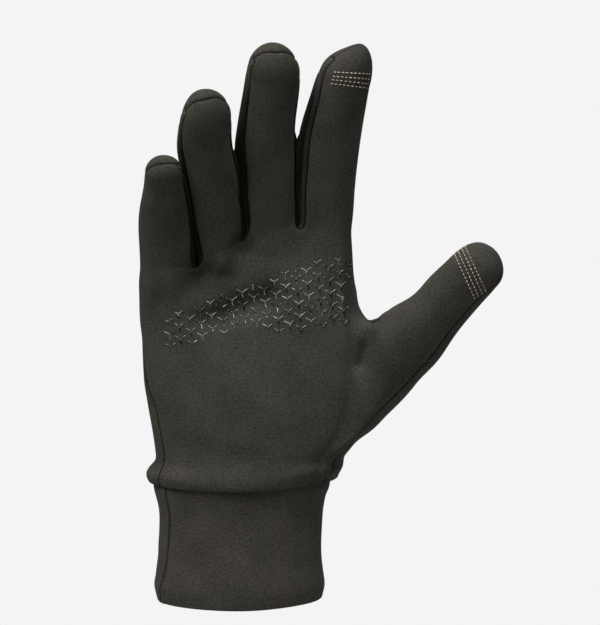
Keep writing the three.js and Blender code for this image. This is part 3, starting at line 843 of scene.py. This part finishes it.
def seen_at(surface, px, py):
    """The place of a surface that the camera sees at a pixel, and its normal."""
    across, above = from_middle(px, py)
    ray = look * DISTANCE + np.array([1, 0, 0]) * across * PIXEL + up_axis * above * PIXEL
    hit, normal, _, _ = surface.ray_cast(Vector(eye), Vector(unit(ray)))
    return None if hit is None else (np.array(hit), np.array(normal))


def distances_to_line(line):
    """Distances of the surface's points to a line drawn on it through the picture's pixels."""
    targets = []
    for (ax, ay), (bx, by) in zip(line, line[1:]):
        for t in np.linspace(0, 1, 1 + int(math.hypot(bx - ax, by - ay))):
            hit = seen_at(skin, mix(ax, bx, t), mix(ay, by, t))
            if hit is not None:
                targets.append(hit[0])
    return distances_to(smooth, targets)


def along_line(line, width):
    """1 on a line of the picture's pixels, fading to 0 beside it, on what faces the viewer."""
    return bump(distances_to_line(line), 0, width) * (normals[:, 1] < 0.3)


# Creases and soft folds of the palm: a line of pixels, how deep and how wide in millimetres
skin = surface_tree(smooth)
CREASES = [
    ([(362, 346), (361, 356), (359, 366)], 1.6, 1.2),
    ([(368, 336), (364, 348), (360, 362)], 1.3, 4.5),
    ([(200, 268), (215, 276), (232, 277)], 0.9, 2.2),
    ([(196, 262), (206, 286)], 0.5, 4),
    ([(230, 183), (236, 192), (241, 202)], 0.6, 1.4),
    ([(200, 320), (225, 312), (252, 303), (266, 298)], 2.8, 5),
    ([(243, 241), (252, 252), (270, 258)], 0.5, 3),
    ([(176, 447), (215, 456), (262, 459)], 0.35, 4),
]
PALM_HOLLOW = ((4, 134), (36, 27), 3.0)  # its middle and its reach, across and up, and its depth
(hollow_x, hollow_z), (hollow_wide, hollow_high), hollow_deep = PALM_HOLLOW
from_hollow = ((smooth[:, 0] - hollow_x) / hollow_wide) ** 2 + ((smooth[:, 2] - hollow_z) / hollow_high) ** 2
sunk = np.exp(-from_hollow) * (hollow_deep * smoothstep(0.2, -0.6, normals[:, 1]))
for line, depth, width in CREASES:
    sunk += depth * along_line(line, width)
smooth -= normals * sunk[:, None]
folded = np.maximum(nearness(smooth, top_front[4], 5), nearness(smooth, top_front[8], 5))
smooth = relax(smooth, folded * 0.5, 40)
normals = surface_normals(smooth, body_quads)
inner = smooth - normals * BODY_WALL

# Painted shade on the palm and back panels, where folds lie in shade: a line of pixels, how dark and how wide
# in millimetres
SHADES = [
    ([(203, 315), (217, 307), (234, 303), (255, 297), (267, 291)], 0.6, 5),
    ([(362, 346), (361, 356), (359, 366)], 0.5, 0.9),
    ([(372, 322), (368, 338)], 0.25, 7),
]
panel_painted_shade = np.ones(len(smooth))
for line, dark, width in SHADES:
    panel_painted_shade *= 1 - dark * along_line(line, width)

# Seams draw in. The side strip of the index has a narrow ridge of turned edge beside its seam.
SIDE_DEEP, SIDE_WIDE = 0.6, 0.7
FRONT_DEEP, FRONT_WIDE = 0.6, 0.6
BACK_DEEP, BACK_WIDE = 0.5, 0.7
RIDGE_FROM_SEAM, RIDGE_WIDE = 1.5, 0.8
LOW_RIDGE = 0.2  # of the index's, on the other strips
# the side strips' colour is darkened to this share: partly a darker yarn, mostly painted shade between the
# fingers
STRIP_YARN_AND_SHADE = 0.16
near_web = nearness(smooth, web_place, 12)
side_depth = 1 - 0.9 * near_web
groove = np.maximum(FRONT_DEEP * bump(front_seam, 0, FRONT_WIDE), BACK_DEEP * bump(back_seam, 0, BACK_WIDE))
groove = np.maximum(groove, SIDE_DEEP * bump(side_seam, 0, SIDE_WIDE) * side_depth)
groove *= 1 - folded
# painted shade at the bottoms of the slots between the little and ring and the ring and middle fingers
panel_painted_shade *= 1 - 0.5 * folded
ridge = np.where(own_strip, LOW_RIDGE, 0)
index_wall = np.zeros(len(smooth), bool)
index_wall[on_strip[2]] = True
ridge[index_wall & (normals[:, 0] < 0.35)] = 1
ridge *= smoothstep(4, 8, front_seam + back_seam)
front_ridge, back_ridge = (bump(seam, RIDGE_FROM_SEAM, RIDGE_WIDE) for seam in (front_seam, back_seam))
lift = ridge * (0.75 * front_ridge + 0.4 * back_ridge) - (groove + 0.2 * bump(side_seam, 0, 2.2) * side_depth)
outer = smooth + normals * lift[:, None]
seam_near = np.minimum(np.minimum(side_seam, front_seam), back_seam) + near_web
# Painted shade on the side strips, lighter where the index's ridge faces the light, and fading out toward the
# tips
strip_yarn_and_painted_shade = STRIP_YARN_AND_SHADE + 0.5 * np.maximum(ridge - LOW_RIDGE, 0) / 0.8 * bump(front_seam, 1.3, 1.3)
for number, (at, tip_length, _) in enumerate(digit_tips, 1):
    near_tip = smoothstep(-0.9, 0.1, (smooth - at["centre"]) @ at["along"] / tip_length)
    strip_yarn_and_painted_shade = np.where(np.abs(body_digit - number) < 0.5, mix(strip_yarn_and_painted_shade, 1, near_tip), strip_yarn_and_painted_shade)


def new_object(name, places, polygons):
    mesh = bpy.data.meshes.new(name)
    corners = [tuple(int(i) for i in polygon) for polygon in polygons]
    mesh.from_pydata([tuple(p) for p in np.asarray(places) * MM], [], corners)
    mesh.validate()
    mesh.update()
    for polygon in mesh.polygons:
        polygon.use_smooth = True
    return add_object(name, mesh)


def set_knit(obj, across_along, seam, painted_shade_and_yarn_tone, whole_turn=None):
    """The knit's coordinates in millimetres as a UV map, the distance to the nearest seam and the tone, which
    carries painted shade and the side strips' darker yarn.

    A closed tube's coordinates start again after a whole turn.
    """
    layer = obj.data.uv_layers.new(name="Knit")
    corners = np.zeros(len(obj.data.loops), int)
    obj.data.loops.foreach_get("vertex_index", corners)
    at_corners = np.asarray(across_along)[corners]
    if whole_turn:
        across = at_corners[:, 0].reshape(-1, 4)
        passed = (across < whole_turn / 4) & (across.max(1, keepdims=True) > whole_turn * 3 / 4)
        at_corners[:, 0] += whole_turn * passed.ravel()
    layer.data.foreach_set("uv", at_corners.ravel())
    for name, values in (("seam", seam), ("painted_shade_and_yarn_tone", painted_shade_and_yarn_tone)):
        attribute = obj.data.attributes.new(name, "FLOAT", "POINT")
        attribute.data.foreach_set("value", np.asarray(values, float))


def shell(name, quads, outside, inside, across_along, seam, painted_shade_and_yarn_tone):
    """A closed wall from its outer quads, with an inner face and edges all round."""
    used, local = np.unique(quads, return_inverse=True)
    local = local.reshape(-1, 4)
    size = len(used)
    pairs = np.stack([local, np.roll(local, -1, 1)], -1).reshape(-1, 2)
    known = {tuple(p) for p in pairs.tolist()}
    rim = [(a, b) for a, b in pairs.tolist() if (b, a) not in known]
    polygons = local.tolist() + (local[:, ::-1] + size).tolist()
    polygons += [(b, a, a + size, b + size) for a, b in rim]
    obj = new_object(name, np.vstack([outside[used], inside[used]]), polygons)
    set_knit(obj, np.vstack([across_along[used]] * 2), np.tile(seam[used], 2), np.tile(painted_shade_and_yarn_tone[used], 2))
    return obj


pieces = {}
for tag, node in enumerate(PANELS):
    quads = body_quads[body_tags == tag]
    panel_knit = {PALM: body[:, 3:5], BACK: body[:, 5:7]}.get(tag, smooth[:, 1:3])
    # the panels carry painted shade, the side strips a darker yarn and painted shade
    painted_shade_and_yarn_tone = panel_painted_shade if tag in (PALM, BACK) else strip_yarn_and_painted_shade
    pieces[node] = shell(f"{node}_knit", quads, outer, inner, panel_knit, seam_near, painted_shade_and_yarn_tone)

# The cuff: a torus of doubled knit with one seam
FOLD_ANGLES = (135, 90, 45)
around = 2 * COLUMNS + 4
fold = CUFF_WALL / 2
outline = [(FOLD_WIDTH, 0, fold)]
outline += [(width, 0, up * CUFF_HEIGHT) for up, width in CUFF_ROWS]
outline.append((CUFF_TOP, 0, CUFF_HEIGHT))
loop = outline + [(width, CUFF_WALL, height) for width, _, height in reversed(outline)]
for angle in FOLD_ANGLES:
    loop.append((FOLD_WIDTH, fold - fold * math.cos(angle * RAD), fold - fold * math.sin(angle * RAD)))
cuff_cage = []
for width, inset, height in loop:
    for i in range(around):
        turn = 180 + CUFF_SEAM_TURN + 360 * i / around
        cuff_cage.append([*cuff_point(turn, width, -inset), height])
cuff_faces = []
for row in range(len(loop)):
    upper = (row + 1) % len(loop)
    for i in range(around):
        j = (i + 1) % around
        cuff_faces.append((row * around + i, row * around + j, upper * around + j, upper * around + i))
one_label = np.zeros(len(cuff_faces), int)
cuff_smooth, cuff_quads, _ = smooth_surface(np.array(cuff_cage), np.array(cuff_faces), one_label)
cuff_round = np.array([cuff_point(180 + CUFF_SEAM_TURN + turn, 1, 0) for turn in range(361)])
cuff_length = lengths_from(cuff_round, 0)


def turns_from_seam(places):
    """Degrees round the cuff from the first place of its round, toward the thumb and back."""
    turns = np.degrees(np.arctan2(-places[:, 1], -places[:, 0]))
    first = np.degrees(np.arctan2(-cuff_round[0, 1], -cuff_round[0, 0]))
    return (turns - first) % 360


known_turns = np.append(turns_from_seam(cuff_round)[:-1], 360)
cuff_across = np.interp(turns_from_seam(cuff_smooth), known_turns, cuff_length)
cuff_knit = np.stack([cuff_across, cuff_smooth[:, 2]], 1)
cuff_normals = surface_normals(cuff_smooth, cuff_quads)
outline_heights = [height for _, _, height in outline]
outline_widths = [width for width, _, _ in outline]
CUFF_SEAM = ((0, 0.26, 0.5, 1), (20, 28.6, 31.5, 34))  # shares of the height, and the seam's degrees there
SEAM_STEPS = 120
seam_line = []
for share in np.linspace(0, 1, SEAM_STEPS):
    turn = np.interp(share, *CUFF_SEAM)
    height = share * CUFF_HEIGHT
    seam_line.append([*cuff_point(180 + turn, np.interp(height, outline_heights, outline_widths), 0), height])
cuff_seam = distances_to(cuff_smooth, seam_line)
behind_seam = cuff_smooth[:, 1] > seam_line[SEAM_STEPS // 2][1]
cuff_lift = -0.45 * bump(cuff_seam, 0, 0.6) + np.where(behind_seam, 0.25 * bump(cuff_seam, 1.5, 0.9), 0)
cuff_places = cuff_smooth + cuff_normals * cuff_lift[:, None]
settle(cuff_places)
pieces["cuff"] = new_object("cuff_knit", cuff_places, cuff_quads)
set_knit(pieces["cuff"], cuff_knit, cuff_seam * 0.65, np.ones(len(cuff_smooth)), cuff_length[-1])

surface = surface_tree(outer)


def rod(sections):
    """A closed rod through its sections, which have the same number of points."""
    count = len(sections[0])
    verts = [point for section in sections for point in section]
    polygons = []
    for i in range(len(sections) - 1):
        for k in range(count):
            a, b = i * count + k, i * count + (k + 1) % count
            polygons.append((a, b, b + count, a + count))
    polygons.append(tuple(range(count - 1, -1, -1)))
    polygons.append(tuple(range(len(verts) - count, len(verts))))
    return verts, polygons


def joined(rods):
    verts, polygons = [], []
    for more, shapes in rods:
        polygons += [tuple(i + len(verts) for i in shape) for shape in shapes]
        verts += more
    return verts, polygons


# Rows of stitches across the index's and the thumb's tip: the pitch and the length, and the rows' pixels
STITCHES = {
    "index_touch_stitches": (1.7, 1.1, [
        ((334.4, 72.1), (368.9, 74.0)), ((333.5, 76.4), (368.1, 79.0)),
        ((332.5, 79.7), (367.4, 83.6)), ((331.6, 83.6), (367.0, 87.9))]),
    "thumb_touch_stitches": (1.6, 1.05, [
        ((465.8, 247.9), (485.7, 290.4)), ((462.4, 249.8), (481.9, 292.7)),
        ((458.5, 252.1), (478.0, 295.0)), ((454.7, 254.4), (474.2, 297.3))]),
}
STITCH_WIDTH = 0.44
STITCH_RISE = 0.14
STITCH_SIDES = 8


def cut_line(start, end):
    """The places along a straight line of the picture, continued a little both ways, where it meets the
    glove's outer surface.
    """
    found = []
    for t in np.linspace(-0.04, 1.04, 150):
        hit = seen_at(surface, mix(start[0], end[0], t), mix(start[1], end[1], t))
        if hit is not None:
            found.append(hit)
    return found


def thread(places, normals_at, pitch, length):
    """Short rounded stitches laid along a line of places."""
    steps = np.concatenate([[0], np.cumsum(np.linalg.norm(np.diff(places, axis=0), axis=1))])
    total = steps[-1]
    count = int(total / pitch)
    stitches = []
    for n in range(count):
        middle = (n + 0.5) * total / count
        spine = [np.array([np.interp(middle + o, steps, places[:, k]) for k in range(3)])
                 for o in np.linspace(-length / 2, length / 2, 7)]
        normal = unit(np.array([np.interp(middle, steps, normals_at[:, k]) for k in range(3)]))
        side = unit(np.cross(normal, unit(spine[-1] - spine[0])))
        sections = []
        for i, place in enumerate(spine):
            swell = math.sqrt(max(0.0, 1 - (abs(i - 3) / 3.35) ** 2.4))
            arch = STITCH_RISE * (1 - ((i - 3) / 3) ** 2)
            turns = [2 * math.pi * k / STITCH_SIDES for k in range(STITCH_SIDES)]
            sections.append([place + normal * arch
                             + (side * math.cos(a) + normal * math.sin(a)) * swell * STITCH_WIDTH / 2
                             for a in turns])
        stitches.append(rod(sections))
    return stitches


for name, (pitch, length, rows) in STITCHES.items():
    stitches = []
    for start, end in rows:
        found = cut_line(start, end)
        stitches += thread(np.array([p for p, _ in found]), np.array([n for _, n in found]), pitch, length)
    pieces[name] = new_object(name, *joined(stitches))

# Raised three-armed grip marks on a triangular lattice across the palm
GRIP_OUTLINE = [
    (162, 324), (175, 311), (197, 304), (222, 294), (240, 287), (264, 281), (294, 265), (316, 259),
    (340, 257.5), (352, 257), (353, 326), (316, 333), (290, 335), (268, 333), (257, 328), (226, 333),
    (206, 342), (188, 347), (164, 350.5),
]
GRIP_ORIGIN = np.array([306.4, 271.1])
GRIP_DOWN = np.array([1.3, 12.5])
GRIP_ACROSS = np.array([21.8, -3.0])
GRIP_ARMS = [(-5.9, -3.3), (5.2, -3.8), (0.9, 6.3)]
GRIP_WIDTH = 0.72
GRIP_RISE = 0.3
# across and up, as shares of half the width and of the rise
GRIP_SECTION = [(1, -0.25), (0.86, 0.45), (0.4, 0.9), (0, 1), (-0.4, 0.9), (-0.86, 0.45), (-1, -0.25)]


def inside_outline(px, py):
    inside = False
    for (ax, ay), (bx, by) in zip(GRIP_OUTLINE, GRIP_OUTLINE[1:] + GRIP_OUTLINE[:1]):
        if (ay > py) != (by > py) and px < mix(ax, bx, (py - ay) / (by - ay)):
            inside = not inside
    return inside


def grip_arm(start, end):
    """An arm of a mark, up to where it leaves the band, in a list that is empty where none is left."""
    spine = []
    for t in np.linspace(0, 1, 6):
        px, py = mix(start[0], end[0], t), mix(start[1], end[1], t)
        hit = seen_at(surface, px, py) if inside_outline(px, py) else None
        if hit is None:
            break
        spine.append(hit)
    count = len(spine)
    if count < 3:
        return []
    sections = []
    for i, (place, normal) in enumerate(spine):
        ahead = spine[min(i + 1, count - 1)][0] - spine[max(i - 1, 0)][0]
        side = unit(np.cross(normal, ahead))
        taper = 1 if i < count - 1 else 0.55
        sections.append([place + side * across * GRIP_WIDTH / 2 * taper + normal * rise * GRIP_RISE * taper
                         for across, rise in GRIP_SECTION])
    return [rod(sections)]


arms = []
for column in range(-9, 7):
    for row in range(-14, 16):
        for half in (0, 0.5):
            centre = GRIP_ORIGIN + GRIP_ACROSS * (column + half) + GRIP_DOWN * (row + half)
            for arm in GRIP_ARMS:
                arms += grip_arm(centre, centre + np.array(arm))
pieces["palm_grip_marks"] = new_object("palm_grip_marks", *joined(arms))


# Materials
def new_material(name):
    material = bpy.data.materials.new(name)
    material.use_nodes = True
    tree = material.node_tree
    return material, tree


def node(tree, kind, inputs=None, **settings):
    made = tree.nodes.new(kind)
    for key, value in settings.items():
        setattr(made, key, value)
    for key, value in (inputs or {}).items():
        if isinstance(value, bpy.types.NodeSocket):
            tree.links.new(value, made.inputs[key])
        else:
            made.inputs[key].default_value = value
    return made


def linear(red, green, blue):
    """A colour from its values of 0 to 255 on a screen."""
    values = [v / 255 for v in (red, green, blue)]
    return tuple(v / 12.92 if v <= 0.04045 else ((v + 0.055) / 1.055) ** 2.4 for v in values) + (1,)


def math_node(tree, operation, a, b=0.0, c=0.0):
    return node(tree, "ShaderNodeMath", {0: a, 1: b, 2: c}, operation=operation).outputs[0]


def two_tone(tree, value, low, dark, high, light):
    """A colour that goes from dark to light as the value goes from low to high."""
    ramp = node(tree, "ShaderNodeValToRGB", {"Fac": value})
    for element, position, colour in zip(ramp.color_ramp.elements, (low, high), (dark, light)):
        element.position = position
        element.color = colour
    return ramp.outputs["Color"]


def noise(tree, place, scale, detail=2.0, roughness=0.5):
    inputs = {"Vector": place, "Scale": scale, "Detail": detail, "Roughness": roughness}
    return node(tree, "ShaderNodeTexNoise", inputs).outputs["Fac"]


def varied(tree, value, variation, amount):
    """The value, raised or lowered as the variation lies above or below its middle."""
    return math_node(tree, "MULTIPLY_ADD", math_node(tree, "SUBTRACT", variation, 0.5), amount, value)


def finish(tree, colour, height, strength, distance, **values):
    """Gives the surface its colour, its relief and the values that are the same all over it."""
    shader = tree.nodes["Principled BSDF"]
    relief = node(tree, "ShaderNodeBump", {"Height": height, "Strength": strength, "Distance": distance})
    tree.links.new(colour, shader.inputs["Base Color"])
    tree.links.new(relief.outputs[0], shader.inputs["Normal"])
    for name, value in values.items():
        shader.inputs[name.replace("_", " ")].default_value = value


WALE_PITCH = 0.7  # millimetres
COURSE_PITCH = 0.7
SEAM_DARK = 0.35


def knit_material(name, dark, light):
    material, tree = new_material(name)
    uv = node(tree, "ShaderNodeUVMap", uv_map="Knit").outputs[0]
    split = node(tree, "ShaderNodeSeparateXYZ", {0: uv})
    across, along = split.outputs[0], split.outputs[1]
    shifted = math_node(tree, "MULTIPLY_ADD", noise(tree, uv, 0.35), 0.9, across)
    wale_turn = math_node(tree, "MULTIPLY", shifted, 2 * math.pi / WALE_PITCH)
    wale = math_node(tree, "SINE", wale_turn)
    course_turn = math_node(tree, "MULTIPLY", along, 2 * math.pi / COURSE_PITCH)
    course = math_node(tree, "SINE", math_node(tree, "MULTIPLY_ADD", wale, 1.1, course_turn))
    stretched = node(tree, "ShaderNodeMapping", {"Vector": uv, "Scale": (0.55, 1.0, 1.0)}).outputs[0]
    heather = noise(tree, stretched, 1.1, 5.0, 0.75)
    speck = noise(tree, uv, 2.6, 2.0, 0.6)
    yarn = math_node(tree, "MULTIPLY_ADD", wale, 0.09, heather)
    yarn = varied(tree, yarn, noise(tree, uv, 0.06, 3.0), 0.35)
    yarn = varied(tree, yarn, speck, 0.7)
    seam = node(tree, "ShaderNodeAttribute", attribute_name="seam").outputs["Fac"]
    ranges = {"Value": seam, "From Min": 0.15, "From Max": 0.65, "To Min": SEAM_DARK, "To Max": 1.0}
    line = node(tree, "ShaderNodeMapRange", ranges, interpolation_type="SMOOTHSTEP").outputs[0]
    # The tone attribute multiplies in painted shade and the side strips' darker yarn, on top of the dark seam
    # lines.
    painted_shade_and_yarn_tone = node(tree, "ShaderNodeAttribute", attribute_name="painted_shade_and_yarn_tone").outputs["Fac"]
    line = math_node(tree, "MULTIPLY", line, painted_shade_and_yarn_tone)
    seam_lines_and_painted_shade = node(tree, "ShaderNodeCombineColor", {0: line, 1: line, 2: line}).outputs[0]
    colour = two_tone(tree, yarn, 0.30, dark, 0.72, light)
    factors = {0: 1.0, 6: colour, 7: seam_lines_and_painted_shade}
    shaded = node(tree, "ShaderNodeMix", factors, data_type="RGBA", blend_type="MULTIPLY").outputs[2]
    height = math_node(tree, "MULTIPLY_ADD", wale, 0.5, math_node(tree, "MULTIPLY", course, 0.12))
    height = math_node(tree, "MULTIPLY_ADD", speck, 0.9, height)
    finish(tree, shaded, height, 0.5, 0.00012, Roughness=0.95, Specular_IOR_Level=0.12,
           Sheen_Weight=0.12, Sheen_Roughness=0.55, Sheen_Tint=linear(120, 116, 104))
    return material


def thread_material():
    material, tree = new_material("touch_thread")
    place = node(tree, "ShaderNodeTexCoord").outputs["Object"]
    ply = node(tree, "ShaderNodeTexWave", {"Vector": place, "Scale": 1500.0, "Distortion": 1.5})
    colour = two_tone(tree, noise(tree, place, 900.0), 0.3, linear(148, 136, 115), 0.7, linear(224, 213, 192))
    finish(tree, colour, ply.outputs["Fac"], 0.4, 0.00005, Roughness=0.6)
    return material


def grip_material():
    material, tree = new_material("palm_grip")
    place = node(tree, "ShaderNodeTexCoord").outputs["Object"]
    painted_glint_and_gloss = noise(tree, place, 260.0, 3.0)
    # The light grey on some marks is painted highlight, spread at random by the noise; the rest are near
    # black. The same noise sets the roughness and the relief.
    colour = two_tone(tree, painted_glint_and_gloss, 0.45, linear(12, 12, 11), 0.62, linear(112, 111, 106))
    gloss = node(tree, "ShaderNodeMapRange", {"Value": painted_glint_and_gloss, "To Min": 0.12, "To Max": 0.32}).outputs[0]
    tree.links.new(gloss, tree.nodes["Principled BSDF"].inputs["Roughness"])
    finish(tree, colour, painted_glint_and_gloss, 0.25, 0.0001, Specular_IOR_Level=1.0)
    return material


KNIT_TONES = linear(42, 40, 36), linear(76, 74, 67)
CUFF_TONES = linear(46, 44, 40), linear(82, 79, 72)
materials = {
    "body_knit": knit_material("body_knit", *KNIT_TONES),
    "side_knit": knit_material("side_knit", *KNIT_TONES),
    "cuff_knit": knit_material("cuff_knit", *CUFF_TONES),
    "touch_thread": thread_material(),
    "palm_grip": grip_material(),
}
PIECE_SLOTS = {"palm_panel": "body_knit", "back_panel": "body_knit", "cuff": "cuff_knit"}
PIECE_SLOTS.update((strip, "side_knit") for strip in STRIPS)
PIECE_SLOTS.update((name, "touch_thread") for name in STITCHES)
PIECE_SLOTS["palm_grip_marks"] = "palm_grip"
for key, slot in PIECE_SLOTS.items():
    piece = pieces[key]
    piece.data.materials.append(materials[slot])
    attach(piece, "root")
    if key in PANELS or key == "cuff":
        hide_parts(key)

# Stage: a plain pale floor under a sky of the same tone, and soft lights above, to the left and behind
PALE = linear(244, 244, 245)
AMBIENT = 0.02
FLOOR_DEPTH = 0.16
FLOOR_REACH = 40


def seen_and_lighting(tree, output, seen, lighting):
    """One shader is what the camera sees directly, and the other gives the light."""
    straight = node(tree, "ShaderNodeLightPath").outputs["Is Camera Ray"]
    both = node(tree, "ShaderNodeMixShader", {0: straight, 1: lighting.outputs[0], 2: seen.outputs[0]})
    tree.links.new(both.outputs[0], tree.nodes[output].inputs["Surface"])


floor_mesh = bpy.data.meshes.new("floor")
floor_corners = [(FLOOR_REACH * x, FLOOR_REACH * y, 0) for x, y in ((-1, -1), (1, -1), (1, 1), (-1, 1))]
floor_mesh.from_pydata(floor_corners, [], [(0, 1, 2, 3)])
floor = add_object("floor", floor_mesh)
floor.location.z = -FLOOR_DEPTH
floor_material, tree = new_material("floor")
pale = node(tree, "ShaderNodeEmission", {"Color": PALE, "Strength": 1.0})
matte = node(tree, "ShaderNodeBsdfDiffuse", {"Color": (0.5, 0.5, 0.5, 1)})
seen_and_lighting(tree, "Material Output", pale, matte)
floor_mesh.materials.append(floor_material)

world = bpy.data.worlds.new("studio")
bpy.context.scene.world = world
world.use_nodes = True
tree = world.node_tree
background = tree.nodes["Background"]
background.inputs["Color"].default_value = PALE
background.inputs["Strength"].default_value = 1.0
dim = node(tree, "ShaderNodeBackground", {"Color": (1, 1, 1, 1), "Strength": AMBIENT})
seen_and_lighting(tree, "World Output", background, dim)


def soft_light(name, place, watts):
    data = bpy.data.lights.new(name, "AREA")
    data.shape = "DISK"
    data.size = LIGHT_SIZE
    data.energy = watts
    light = add_object(name, data)
    light.location = place
    light.rotation_euler = (Vector(AIM) - Vector(place)).to_track_quat("-Z", "Y").to_euler()


AIM = (0.03, 0, 0.12)
LIGHT_SIZE = 0.9
soft_light("key", (0.26, -0.54, 1.74), 23)
soft_light("left", (-0.80, -0.66, 1.48), 23)
soft_light("back", (0.30, 1.35, 0.95), 9)
bpy.context.scene.view_settings.view_transform = "Standard"
